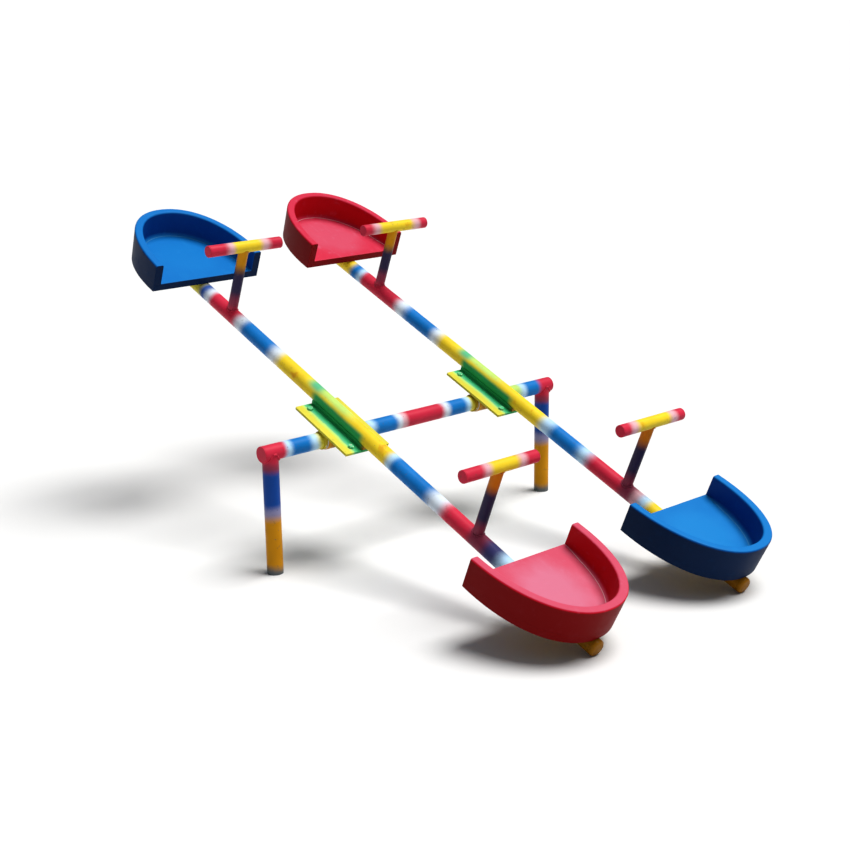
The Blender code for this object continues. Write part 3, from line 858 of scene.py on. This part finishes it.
# ---- one rocking beam
@dataclass(frozen=True)
class Bearing:
    """Sleeve on the crossbar with a flanged bush in each end, and the plates that the beam bolts to."""

    axes: Axes
    side: str
    wall: float = 0.0032
    flats: float = 0.017
    washer: float = 0.0105
    washer_thickness: float = 0.0012
    thread_radius: float = 0.0048
    thread_pitch: float = 0.0015

    def sleeve_enamel(self) -> SprayedEnamel:
        """Return the sleeve's bands across the beam."""
        # The brown middle is painted shade on the sleeve under the plates.
        bands = sprayed(-0.080, (Coat.AMBER, -0.052), (Coat.SHADE_BROWN, 0.044), (Coat.LIME, 0.080))
        return SprayedEnamel(f"sleeve_enamel_{self.side}", self.axes.spot(), self.axes.toward(x=1), bands)

    def plate_enamel(self) -> SprayedEnamel:
        """Return the plates' bands: green beside the saddle and yellow along the sides."""
        bands = sprayed(
            -0.100,
            (Coat.MOSS_AND_SHADE, -0.060), (Coat.LIME, -0.052), (Coat.MINT, -0.044), (Coat.TEAL, -0.026),
            (Coat.GREEN, 0.024), (Coat.TEAL, 0.036), (Coat.LIME, 0.060), (Coat.MOSS_AND_SHADE, 0.100),
        )
        return SprayedEnamel(
            f"plate_enamel_{self.side}", self.axes.spot(), self.axes.toward(x=1), bands, 0.006, (), 0.014
        )

    def sleeve(self) -> None:
        """Build the sleeve, its welds to the plate and its bushes."""
        name = f"pivot_sleeve_{self.side}"
        box = self.axes.box(name)
        radius = box.high.z
        blank = Blank()
        blank.turn(tube_profile(radius - self.wall, radius, box.low.x, box.high.x, 0.0008), ALONG_X)
        blank.finish(f"sleeve_tube_{self.side}", self.axes, self.sleeve_enamel(), "amber_paint", name)
        blank = Blank()
        for out in (-1, 1):
            place = shift(0, out * 0.0145, radius - 0.0022) @ ALONG_X
            blank.bead(box.low.x + 0.002, box.high.x - 0.002, 0.0040, place)
        blank.finish(f"sleeve_weld_{self.side}", self.axes, self.sleeve_enamel(), "amber_paint")
        for place in ("inner", "outer"):
            node = f"bush_{self.side}_{place}"
            bush = self.axes.box(node)
            out = 1 if bush.middle.x > 0 else -1
            bore = self.axes.box("crossbar").size.z / 2 + 0.0004
            flange = bush.size.z / 2
            face = max(bush.high.x, -bush.low.x)
            root = radius - self.wall - 0.0002
            start = min(abs(bush.low.x), abs(bush.high.x))
            profile = [
                (bore, start),
                (root, start),
                (root, face - 0.003),
                *arc((flange - 0.0006, face - 0.0024), 0.0006, -90, 0, 3),
                *arc((flange - 0.0008, face - 0.0008), 0.0008, 0, 90, 3),
                (bore, face),
            ]
            blank = Blank()
            blank.turn(profile, ALONG_X if out > 0 else AGAINST_X)
            blank.finish(f"bush_ring_{self.side}_{place}", self.axes, MachinedNylon(), "nylon", node)

    def plates(self) -> None:
        """Build the two plates, the saddle on them and the welds along the saddle."""
        for node in (f"beam_plate_{self.side}", f"sleeve_plate_{self.side}"):
            box = self.axes.box(node)
            blank = Blank()
            blank.block(box.low, box.high, 0.003)
            name = node.replace("plate", "plate_steel")
            blank.finish(name, self.axes, self.plate_enamel(), "yellow_paint", node)
        node = f"saddle_{self.side}"
        box = self.axes.box(node)
        beam = self.axes.box(f"beam_{self.side}")
        radius = beam.size.x / 2
        half = box.high.x
        crest = box.high.z
        dip = math.degrees(math.acos(half / (radius + 0.0002)))
        trough = arc((0, beam.middle.z), radius + 0.0002, -dip, -180 + dip, 24)
        outline = [(-half, box.low.z), (half, box.low.z), (half, crest), *trough[1:-1], (-half, crest)]
        # The brown strip at the saddle's near end is painted shade.
        green = SprayedEnamel(
            f"saddle_enamel_{self.side}",
            self.axes.spot(),
            self.axes.toward(y=1),
            sprayed(-0.150, (Coat.SHADE_BROWN, -0.126), (Coat.GREEN, 0.150)),
        )
        blank = Blank()
        blank.bar(outline, box.low.y, box.high.y)
        blank.finish(f"saddle_block_{self.side}", self.axes, green, "green_paint", node)
        blank = Blank()
        for out in (-1, 1):
            foot = shift(out * half, 0, box.low.z) @ ALONG_Y
            blank.bead(box.low.y + 0.004, box.high.y - 0.004, 0.0036, foot)
            lip = shift(out * (half + 0.0006), 0, crest - 0.0012) @ ALONG_Y
            blank.bead(box.low.y + 0.010, box.high.y - 0.010, 0.0026, lip)
        blank.finish(f"saddle_weld_{self.side}", self.axes, green, "green_paint")

    def bolt(self, number: int) -> None:
        """Build a plate bolt with its washers and nut."""
        node = f"plate_bolt_{self.side}_{number}"
        box = self.axes.box(node)
        over = self.axes.box(f"beam_plate_{self.side}").high.z
        under = self.axes.box(f"sleeve_plate_{self.side}").low.z
        place = shift(box.middle.x, box.middle.y)
        turn = place @ Matrix.Rotation(number * 0.7, 4, "Z")
        blank = Blank()
        shelf = self.washer_thickness
        blank.hexagon(self.flats, over + shelf, box.high.z, turn)
        nut_low = under - shelf
        flip = turn @ Matrix.Rotation(math.pi, 4, "X")
        blank.hexagon(self.flats, -nut_low, -nut_low + 0.0068, flip)
        for low in (over, under - shelf):
            blank.turn(tube_profile(0.0056, self.washer, low, low + shelf), place, FINE_STEPS)
        tip = box.low.z
        profile = [(0.0, tip), (self.thread_radius - 0.0008, tip)]
        turns = round((nut_low - 0.0060 - tip) / self.thread_pitch)
        for step in range(turns):
            start = tip + 0.0004 + step * self.thread_pitch
            profile.append((self.thread_radius, start + 0.0004))
            profile.append((self.thread_radius - 0.0007, start + 0.0011))
        thread = self.thread_radius
        profile += [(thread, nut_low - 0.0060), (thread, over + 0.0050), (0.0, over + 0.0050)]
        blank.turn(profile, place, 24)
        steel = PlatedSteel("oversprayed_steel", oversprayed=0.60)
        blank.finish(f"bolt_set_{self.side}_{number}", self.axes, steel, "zinc", node)

    def build(self) -> None:
        """Build the bearing and its plates."""
        self.sleeve()
        self.plates()
        for number in range(1, 5):
            self.bolt(number)


@dataclass(frozen=True)
class Beam:
    """Beam tube with a domed cap in each end."""

    axes: Axes
    side: str
    enamel: SprayedEnamel
    wall: float = 0.0032
    cap_rounding: float = 0.009
    crown: float = 0.0012  # how far the cap's face bulges

    def build(self) -> None:
        """Build the tube and both caps."""
        node = f"beam_{self.side}"
        box = self.axes.box(node)
        radius = box.size.x / 2
        place = shift(0, 0, box.middle.z) @ ALONG_Y
        blank = Blank()
        blank.turn(tube_profile(radius - self.wall, radius, box.low.y, box.high.y), place)
        blank.finish(f"beam_tube_{self.side}", self.axes, self.enamel, "yellow_paint", node)
        for end, turn in (("near", AGAINST_Y), ("far", ALONG_Y)):
            cap = f"beam_cap_{self.side}_{end}"
            cap_box = self.axes.box(cap)
            reach = max(-cap_box.low.y, cap_box.high.y)
            tail = min(abs(cap_box.low.y), abs(cap_box.high.y))
            seam = max(-box.low.y, box.high.y) + SEAM
            shoulder = reach - self.crown - self.cap_rounding
            flat = radius - self.cap_rounding
            crown = arc((flat, shoulder), self.cap_rounding, 0, 90, 9)
            for step in range(1, 5):
                share = 1 - step / 4
                crown.append((flat * share, reach - self.crown * share**2))
            blank = Blank()
            profile = plug_profile(radius, self.wall, tail, seam, 0.0004, crown)
            blank.turn(profile, shift(0, 0, box.middle.z) @ turn)
            blank.finish(f"beam_end_{self.side}_{end}", self.axes, self.enamel, "amber_paint", cap)


@dataclass(frozen=True)
class Handle:
    """T-shaped handle: a post coped to the beam, and a bar across it with a disc in each end."""

    axes: Axes
    side: str
    end: str
    wall: float = 0.0029
    cap_rounding: float = 0.0018
    weld: float = 0.0028

    def bar_enamel(self) -> SprayedEnamel:
        """Return the bar's bands across the beam. The right beam's bars are yellow over a longer part."""
        left, right = (-0.060, 0.074) if self.side == "left" else (-0.088, 0.090)
        pink = 0.014
        bands = sprayed(
            -0.150,
            (Coat.RED, left - pink), (Coat.PINK, left + pink), (Coat.YELLOW, right - pink),
            (Coat.PINK, right + pink), (Coat.RED, 0.150),
        )
        name = f"grip_enamel_{self.side}"
        return SprayedEnamel(name, self.axes.spot(), self.axes.toward(x=1), bands, 0.014)

    def post_enamel(self) -> SprayedEnamel:
        """Return the post's bands, from the beam up."""
        near = sprayed(
            0.060,
            (Coat.MAROON_AND_SHADOW, 0.130), (Coat.PLUM, 0.250), (Coat.ORANGE, 0.360),
        )
        far = sprayed(
            0.060,
            (Coat.RED, 0.098), (Coat.MAROON_AND_SHADOW, 0.146), (Coat.PLUM, 0.244), (Coat.AMBER, 0.360),
        )
        bands = near if self.end == "near" else far
        name = f"post_enamel_{self.end}"
        return SprayedEnamel(name, self.axes.spot(), self.axes.toward(z=1), bands, 0.024)

    def build(self) -> None:
        """Build the post, the bar, its end discs and both welds."""
        name = f"{self.side}_{self.end}"
        post = self.axes.box(f"handle_post_{name}")
        beam = self.axes.box(f"beam_{self.side}")
        bar = self.axes.box(f"handlebar_{name}")
        radius = post.size.x / 2
        bar_radius = bar.size.y / 2
        place = shift(0, post.middle.y)
        foot = saddle_height(beam.size.x / 2 + 0.0002)
        head = saddle_height(bar_radius + 0.0002)
        blank = Blank()
        paint = self.post_enamel()
        profile = tube_profile(radius - self.wall, radius, beam.middle.z, bar.middle.z)
        for vertex in blank.turn(profile, Matrix(), FINE_STEPS):
            if vertex.co.z < (beam.middle.z + bar.middle.z) / 2:
                vertex.co.z = beam.middle.z + foot(vertex.co.x)
            else:
                vertex.co.z = bar.middle.z - head(vertex.co.y)
            vertex.co = place @ vertex.co
        blank.finish(f"post_tube_{name}", self.axes, paint, "navy_paint", f"handle_post_{name}")

        blank = Blank()
        blank.ring_bead(radius + 0.0008, self.weld, place @ shift(z=beam.middle.z), foot)
        blank.finish(f"post_weld_{name}", self.axes, paint, "navy_paint")

        across = place @ shift(z=bar.middle.z)
        blank = Blank()
        tube = tube_profile(bar_radius - self.wall, bar_radius, bar.low.x, bar.high.x)
        blank.turn(tube, across @ ALONG_X)
        blank.finish(f"grip_tube_{name}", self.axes, self.bar_enamel(), "yellow_paint", f"handlebar_{name}")
        blank = Blank()
        quarter = across @ Matrix.Rotation(math.pi / 2, 4, "Z")
        blank.ring_bead(radius + 0.0004, self.weld * 0.85, quarter, lambda x: -head(x))
        blank.finish(f"grip_weld_{name}", self.axes, paint, "navy_paint")

        for hand, turn in (("left", AGAINST_X), ("right", ALONG_X)):
            node = f"handlebar_cap_{name}_{hand}"
            cap = self.axes.box(node)
            reach = max(-cap.low.x, cap.high.x)
            tail = min(abs(cap.low.x), abs(cap.high.x))
            rounding = self.cap_rounding
            crown = arc((bar_radius - rounding, reach - 0.0003 - rounding), rounding, 0, 90, 5)
            crown.append((0.0, reach))
            profile = plug_profile(bar_radius, self.wall, tail, bar.high.x + SEAM, 0.0004, crown)
            blank = Blank()
            blank.turn(profile, across @ turn, FINE_STEPS)
            blank.finish(f"grip_end_{name}_{hand}", self.axes, self.bar_enamel(), "red_paint", node)


class Level(Enum):
    """What the height of a line round a seat's wall is measured from."""

    SKIRT = "lower edge of the outer wall"
    FLOOR = "floor"
    RIM = "top of the rim"


@dataclass(frozen=True)
class Rail:
    """A line round a seat's wall, from one front corner round the back to the other."""

    inset: float  # from the outside of the seat
    level: Level
    rise: float = 0.0  # above the level


@dataclass(frozen=True)
class Seat:
    """Bucket seat on its bracket.

    Its axes lie on the beam's centreline, with Y out towards the seat's rounded back. The shell is a
    horseshoe wall round a flat floor, open at the front and underneath.
    """

    axes: Axes
    side: str
    end: str
    plastic: MouldedPlastic
    slot: str
    rim: float = 0.028  # width of the rim
    skin: float = 0.004
    floor: float = 0.0502
    rim_front: float = 0.1212
    skirt_front: float = 0.0260
    tuck: float = 0.0090  # how far the skirt draws in at the back
    straight: float = 0.009  # length of the sides before the back begins
    fullness: float = 2.17  # 2 would make the back an ellipse
    back_points: int = 240
    steps: int = 180
    rounding: float = 0.0062  # of the rim's lips
    cove: float = 0.0130  # radius between the inner wall and the floor
    cove_front: float = 0.15  # share of that radius at the front
    cove_growth: float = 0.22  # share of the seat's length over which it grows to its full size
    front_rounding: float = 0.0018
    rib_depth: float = 0.011
    rib: float = 0.003

    def outline(self, box: Box, inset: float) -> Profile:
        """Return (x, y) points from the front right corner round the back to the front left one."""
        half = box.high.x - inset
        start = box.low.y + self.straight
        depth = box.high.y - start - inset
        points = [(half, box.low.y)]
        for step in range(self.back_points + 1):
            angle = math.pi * step / self.back_points
            across = abs(math.cos(angle)) ** (2 / self.fullness)
            out = max(0.0, math.sin(angle)) ** (2 / self.fullness)
            points.append((math.copysign(half * across, math.cos(angle)), start + depth * out))
        points.append((-half, box.low.y))
        return evenly(points, self.steps)

    def rails(self) -> list[Rail]:
        """Return the wall's lines, from the skirt up, over the rim and down to the floor."""
        lip = self.rounding
        bowl = self.rim + self.cove
        outer = arc((lip, -lip), lip, 180, 90, 5)
        inner = arc((self.rim - lip, -lip), lip, 90, 0, 5)
        cove = arc((bowl, self.cove), self.cove, 180, 270, 8)
        return [
            Rail(0.0, Level.SKIRT),
            *(Rail(inset, Level.RIM, rise) for inset, rise in outer + inner),
            *(Rail(inset, Level.FLOOR, rise) for inset, rise in cove),
            Rail(bowl + 0.003, Level.FLOOR),
        ]

    def settle(self, rail: Rail, verts: Sequence[bmesh.types.BMVert], box: Box) -> None:
        """Put the vertices of a rail in their places. The cove grows from nearly nothing at the front."""
        start = box.low.y + self.straight
        wall = self.outline(box, min(rail.inset, self.rim))
        for vertex, (x, y), (wall_x, wall_y) in zip(verts, self.outline(box, rail.inset), wall):
            along = (y - box.low.y) / box.size.y
            rise = rail.rise
            if rail.level is Level.FLOOR:
                share = self.cove_front + (1 - self.cove_front) * min(1.0, along / self.cove_growth)
                x = wall_x + share * (x - wall_x)
                y = wall_y + share * (y - wall_y)
                rise *= share
            skirt = self.skirt_front + along * (box.low.z - self.skirt_front)
            rim = self.rim_front + along * (box.high.z - self.rim_front)
            height = {Level.SKIRT: skirt, Level.FLOOR: self.floor, Level.RIM: rim}[rail.level]
            if rail.level is Level.SKIRT:
                y -= self.tuck * max(0.0, y - start) / (box.high.y - start)
            vertex.co = (x, y, height + rise)

    def shell(self, box: Box) -> Blank:
        """Shape the moulded shell."""
        blank = Blank()
        work = blank.work
        number = work.verts.layers.int.new("number")
        first, *others = self.rails()
        verts = [work.verts.new() for _ in range(self.steps + 1)]
        for index, vertex in enumerate(verts):
            vertex[number] = index
        edges = [work.edges.new(pair) for pair in zip(verts, verts[1:])]
        self.settle(first, verts, box)
        ends = [(verts[0], verts[-1])]
        for rail in others:
            grown = bmesh.ops.extrude_edge_only(work, edges=edges)["geom"]
            verts = [item for item in grown if isinstance(item, bmesh.types.BMVert)]
            verts.sort(key=lambda vertex: vertex[number])
            lines = [item for item in grown if isinstance(item, bmesh.types.BMEdge)]
            fresh = set(verts)
            edges = [line for line in lines if fresh.issuperset(line.verts)]
            self.settle(rail, verts, box)
            ends.append((verts[0], verts[-1]))
        work.faces.new(verts)
        front = work.faces.new([right for right, left in ends] + [left for right, left in reversed(ends)])
        bmesh.ops.recalc_face_normals(work, faces=work.faces)
        lower = {ends[0][0], ends[0][1]}
        blank.soften([edge for edge in front.edges if set(edge.verts) != lower], self.front_rounding, 3)
        bmesh.ops.solidify(work, geom=work.faces[:], thickness=self.skin)
        bmesh.ops.recalc_face_normals(work, faces=work.faces)
        self.tone(work, box.middle)
        return blank

    @staticmethod
    def tone(work: bmesh.types.BMesh, middle: Vector) -> None:
        """Mark each face with painted shade by how it is turned: 0 outside, 0.4 inside and 1 where it is
        level.
        """
        layer = work.loops.layers.float.new("tone")
        for face in work.faces:
            away = (face.calc_center_median() - middle).to_2d()
            base = 0.0 if away.dot(face.normal.to_2d()) > 0 or face.normal.z < -0.2 else 0.4
            for corner in face.loops:
                corner[layer] = base + (1 - base) * max(0.0, face.normal.z)

    def build(self) -> None:
        """Build the shell, its ribs, the bracket and the bolts."""
        name = f"{self.side}_{self.end}"
        box = self.axes.box(f"seat_{name}")
        blank = self.shell(box)
        blank.finish(f"seat_shell_{name}", self.axes, self.plastic, self.slot, f"seat_{name}")
        self.ribs(name, box)
        self.bracket(name)

    def ribs(self, name: str, box: Box) -> None:
        """Build the stiffening ribs under the floor."""
        top = self.floor - self.skin + 0.0005
        low = top - self.rib_depth
        half = self.rib / 2
        front = box.low.y
        blank = Blank()
        for out in (-1, 1):
            for across in (0.112, 0.150):
                length = 0.225 if across < 0.12 else 0.170
                x = out * across
                blank.block((x - half, front + 0.012, low), (x + half, front + length, top))
        for y, reach in ((front + 0.040, 0.176), (box.high.y - 0.046, 0.088)):
            blank.block((-reach, y - half, low), (reach, y + half, top))
        # The ribs carry no shade attribute, so their plastic takes the outer walls' painted shade.
        blank.finish(f"seat_ribs_{name}", self.axes, self.plastic, self.slot)

    def bracket(self, name: str) -> None:
        """Build the bracket's tray and rib, their welds, and the four bolts that hold the seat."""
        node = f"seat_bracket_{name}"
        box = self.axes.box(node)
        beam = self.axes.box(f"beam_{self.side}")
        radius = beam.size.x / 2 + 0.0002
        tray = box.high.z - 0.004
        web = 0.018
        bands = sprayed(0.0, (Coat.AMBER, 0.9), (Coat.YELLOW, 1.2))
        enamel = SprayedEnamel(f"bracket_enamel_{name}", self.axes.spot(), self.axes.toward(y=1), bands)
        dip = math.degrees(math.acos(web / radius))
        trough = arc((0, 0), radius, dip, 180 - dip, 16)
        blank = Blank()
        blank.block((box.low.x, box.low.y, tray), box.high, 0.008)
        crest = math.sqrt(radius * radius - web * web)
        outline = [(web, crest), *trough[1:-1], (-web, crest), (-web, tray + 0.0002), (web, tray + 0.0002)]
        blank.bar(outline, box.low.y, box.high.y)
        blank.finish(f"bracket_steel_{name}", self.axes, enamel, "amber_paint", node)
        blank = Blank()
        for out in (-1, 1):
            for height in (crest + 0.0006, tray):
                foot = shift(out * web, 0, height) @ ALONG_Y
                blank.bead(box.low.y + 0.01, box.high.y - 0.01, 0.0026, foot)
        blank.finish(f"bracket_weld_{name}", self.axes, enamel, "amber_paint")
        blank = Blank()
        for x in (-0.062, 0.062):
            for y in (box.middle.y - 0.066, box.middle.y + 0.066):
                turned = Matrix.Rotation(x * y * 90, 4, "Z")
                head = shift(x, y, tray) @ Matrix.Rotation(math.pi, 4, "X") @ turned
                blank.turn(tube_profile(0.0044, 0.0090, 0.0, 0.0012), head, FINE_STEPS)
                blank.hexagon(0.013, 0.0012, 0.0062, head)
        blank.finish(f"seat_bolts_{name}", self.axes, PlatedSteel(), "zinc")


class SeatColour(Enum):
    """Seat plastics: the record's slot, and the tones in the order that MouldedPlastic takes them."""

    # Each list of tones: outer wall in painted shade, inner wall in lighter painted shade, lit level face,
    # worn colour also used as painted sheen, painted crease highlight.
    BLUE = ("blue_plastic", (
        (0.005, 0.020, 0.066), (0.003, 0.062, 0.260), (0.005, 0.140, 0.420),
        (0.016, 0.210, 0.520), (0.070, 0.270, 0.480),
    ))
    RED = ("red_plastic", (
        (0.190, 0.003, 0.004), (0.500, 0.006, 0.016), (0.500, 0.018, 0.050),
        (0.540, 0.190, 0.280), (0.700, 0.420, 0.450),
    ))


@dataclass(frozen=True)
class Seesaw:
    """One beam with everything that rocks with it."""

    axes: Axes
    side: str
    seats: dict[str, SeatColour]
    bands: tuple[Band, ...]

    def beam_enamel(self) -> SprayedEnamel:
        """Return the beam's bands, with green drifted onto it beside the plates."""
        lift = self.axes.box(f"beam_{self.side}").middle.z
        origin = self.axes.spot(z=lift)
        top = self.axes.toward(x=0.35, z=0.94)
        drifts = (
            Drift(Coat.LIME, -0.030, 0.165, top, 0.006, 0.021, 0.045),
            Drift(Coat.MINT, 0.120, 0.172, top, -0.002, 0.022, 0.020),
            Drift(Coat.GREEN, -0.118, 0.136, self.axes.toward(x=-0.80, z=-0.60), 0.002, 0.016, 0.016),
            Drift(Coat.GREEN, -0.118, 0.136, self.axes.toward(x=0.45, z=-0.89), 0.004, 0.016, 0.016),
        )
        name = f"beam_enamel_{self.side}"
        return SprayedEnamel(name, origin, self.axes.toward(y=1), self.bands, 0.017, drifts)

    def build(self) -> None:
        """Build the bearing, the beam, both handles and both seats."""
        Bearing(self.axes, self.side).build()
        Beam(self.axes, self.side, self.beam_enamel()).build()
        lift = self.axes.box(f"beam_{self.side}").middle.z
        for end, turn in (("near", TURN_ABOUT), ("far", Matrix())):
            Handle(self.axes, self.side, end).build()
            slot, tones = self.seats[end].value
            axes = self.axes.moved(shift(z=lift) @ turn)
            middle = axes.spot(y=axes.box(f"seat_{self.side}_{end}").middle.y - 0.02, z=Seat.floor)
            # The near seats get a strong painted sheen, the far ones a faint one.
            sheen = 1.0 if end == "near" else 0.2
            plastic = MouldedPlastic(f"{slot}_{self.side}_{end}", tones, middle, axes.toward(z=1), sheen)
            Seat(axes, self.side, end, plastic, slot).build()


# On both beams the brown from the near end to under the near seat is painted shade.
# On the left beam the moss at the far end is painted shade on the yellow.
# The maroon band on each beam next to the near handle post is a painted shadow of the post.
LEFT_BANDS = sprayed(
    -1.200,
    (Coat.SHADE_BROWN, -0.860), (Coat.YELLOW, -0.806), (Coat.PALE, -0.744), (Coat.INDIGO, -0.692),
    (Coat.MAROON_AND_SHADOW, -0.626), (Coat.RED, -0.514), (Coat.WHITE, -0.430), (Coat.BLUE, -0.262),
    (Coat.PALE, -0.244), (Coat.YELLOW, 0.336), (Coat.WHITE, 0.392), (Coat.BLUE, 0.546),
    (Coat.WHITE, 0.592), (Coat.RED, 0.746), (Coat.WHITE, 0.768), (Coat.NAVY, 0.802), (Coat.MOSS_AND_SHADE, 1.200),
)
RIGHT_BANDS = sprayed(
    -1.200,
    (Coat.SHADE_BROWN, -0.860), (Coat.YELLOW, -0.744), (Coat.PALE, -0.710), (Coat.PINK, -0.684),
    (Coat.MAROON_AND_SHADOW, -0.630), (Coat.RED, -0.488), (Coat.PALE, -0.430), (Coat.BLUE, -0.312),
    (Coat.PALE, -0.256), (Coat.YELLOW, 0.268), (Coat.WHITE, 0.318), (Coat.BLUE, 0.458),
    (Coat.WHITE, 0.526), (Coat.RED, 0.724), (Coat.PALE, 0.742), (Coat.BLUE, 0.784),
    (Coat.YELLOW, 1.200),
)


# ---- studio
@dataclass(frozen=True)
class Studio:
    """Pale floor, soft lights and the camera."""

    pivot: Vector  # middle of the crossbar
    floor_size: float = 400.0
    stand_off: Triple = (-3.00292, -3.47153, 1.65115)  # camera from the point under the pivot
    heading: float = -41.20  # degrees
    elevation: float = 15.756
    roll: float = -0.845
    lens: float = 61.91
    sensor: float = 36.0
    light_toward: Triple = (1.3, -0.9, 4.2)  # from the seesaw to the light
    light_spread: float = 34  # width of the light as seen from the floor, in degrees
    light_power: float = 3.90
    light_colour: Triple = (1.0, 0.99, 0.97)
    surround: tuple[tuple[float, Triple], ...] = (
        (0.0, (0.98, 0.98, 0.98)),
        (0.03, (0.95, 0.95, 0.95)),
        (0.12, (0.13, 0.14, 0.15)),
        (1.0, (0.20, 0.21, 0.23)),
    )

    def floor(self) -> None:
        """Lay the floor."""
        work = bmesh.new()
        bmesh.ops.create_grid(work, x_segments=8, y_segments=8, size=self.floor_size / 2)
        mesh = bpy.data.meshes.new("studio_floor")
        work.to_mesh(mesh)
        work.free()
        mesh.materials.append(StudioFloor().material())
        sheet = bpy.data.objects.new("studio_floor", mesh)
        bpy.context.scene.collection.objects.link(sheet)

    def light(self) -> None:
        """Hang a very large and distant soft light."""
        lamp = bpy.data.lights.new("overhead", "SUN")
        lamp.angle = math.radians(self.light_spread)
        lamp.energy = self.light_power
        lamp.color = self.light_colour
        holder = bpy.data.objects.new("overhead", lamp)
        toward = Vector(self.light_toward)
        holder.location = self.pivot + toward
        holder.rotation_euler = (-toward).to_track_quat("-Z", "Y").to_euler()
        bpy.context.scene.collection.objects.link(holder)

    def sky(self) -> None:
        """Give the studio a surround that is white at floor level and dimmer overhead."""
        world = bpy.data.worlds.new("studio")
        world.use_nodes = True
        tree = world.node_tree
        place = tree.nodes.new("ShaderNodeTexCoord")
        split = tree.nodes.new("ShaderNodeSeparateXYZ")
        ramp = tree.nodes.new("ShaderNodeValToRGB")
        Graph.set_stops(ramp.color_ramp, self.surround)
        tree.links.new(place.outputs["Generated"], split.inputs[0])
        tree.links.new(split.outputs["Z"], ramp.inputs["Fac"])
        tree.links.new(ramp.outputs["Color"], tree.nodes["Background"].inputs["Color"])
        bpy.context.scene.world = world

    def camera(self) -> None:
        """Set the camera."""
        view = bpy.data.cameras.new("camera")
        view.lens = self.lens
        view.sensor_width = self.sensor
        view.clip_end = 1000
        holder = bpy.data.objects.new("camera", view)
        heading = Matrix.Rotation(math.radians(self.heading), 4, "Z")
        tilt = Matrix.Rotation(math.radians(90 - self.elevation), 4, "X")
        roll = Matrix.Rotation(math.radians(self.roll), 4, "Z")
        spot = Vector(self.stand_off) + Vector((self.pivot.x, self.pivot.y, 0))
        holder.matrix_world = Matrix.Translation(spot) @ heading @ tilt @ roll
        bpy.context.scene.collection.objects.link(holder)
        bpy.context.scene.camera = holder

    def build(self) -> None:
        """Build the studio."""
        self.floor()
        self.sky()
        self.light()
        self.camera()
        bpy.context.scene.view_settings.view_transform = "Standard"
        bpy.context.scene.view_settings.look = "Medium High Contrast"


def beam_axes(frame: dict, side: str) -> Axes:
    """Return the axes of a beam at its pivot.

    The two handlebars of a beam are alike, so the line between their middles runs along the beam.
    """
    joints = frame["record"]["behaviour"]["joints"]
    joint = next(item for item in joints if item["child"] == f"seesaw_{side}")
    middles = []
    for end in ("near", "far"):
        low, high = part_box(f"handlebar_{side}_{end}")
        middles.append((low + high) / 2)
    run = middles[1] - middles[0]
    lean = math.atan2(run.z, run.y)
    matrix = Matrix.Translation(joint["pos_m"]) @ Matrix.Rotation(lean, 4, "X")
    return Axes(f"seesaw_{side}", matrix, frame["nodes"])


def main() -> None:
    """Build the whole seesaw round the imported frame."""
    logging.basicConfig(level=logging.INFO, format="%(name)s: %(message)s")
    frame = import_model()
    left = beam_axes(frame, "left")
    right = beam_axes(frame, "right")
    pivot = (left.matrix.translation + right.matrix.translation) / 2
    Stand(Axes("frame", Matrix.Translation(pivot), frame["nodes"])).build()
    left_seats = {"near": SeatColour.RED, "far": SeatColour.BLUE}
    right_seats = {"near": SeatColour.BLUE, "far": SeatColour.RED}
    Seesaw(left, "left", left_seats, LEFT_BANDS).build()
    Seesaw(right, "right", right_seats, RIGHT_BANDS).build()
    Studio(pivot).build()


if __name__ == "__main__":
    main()
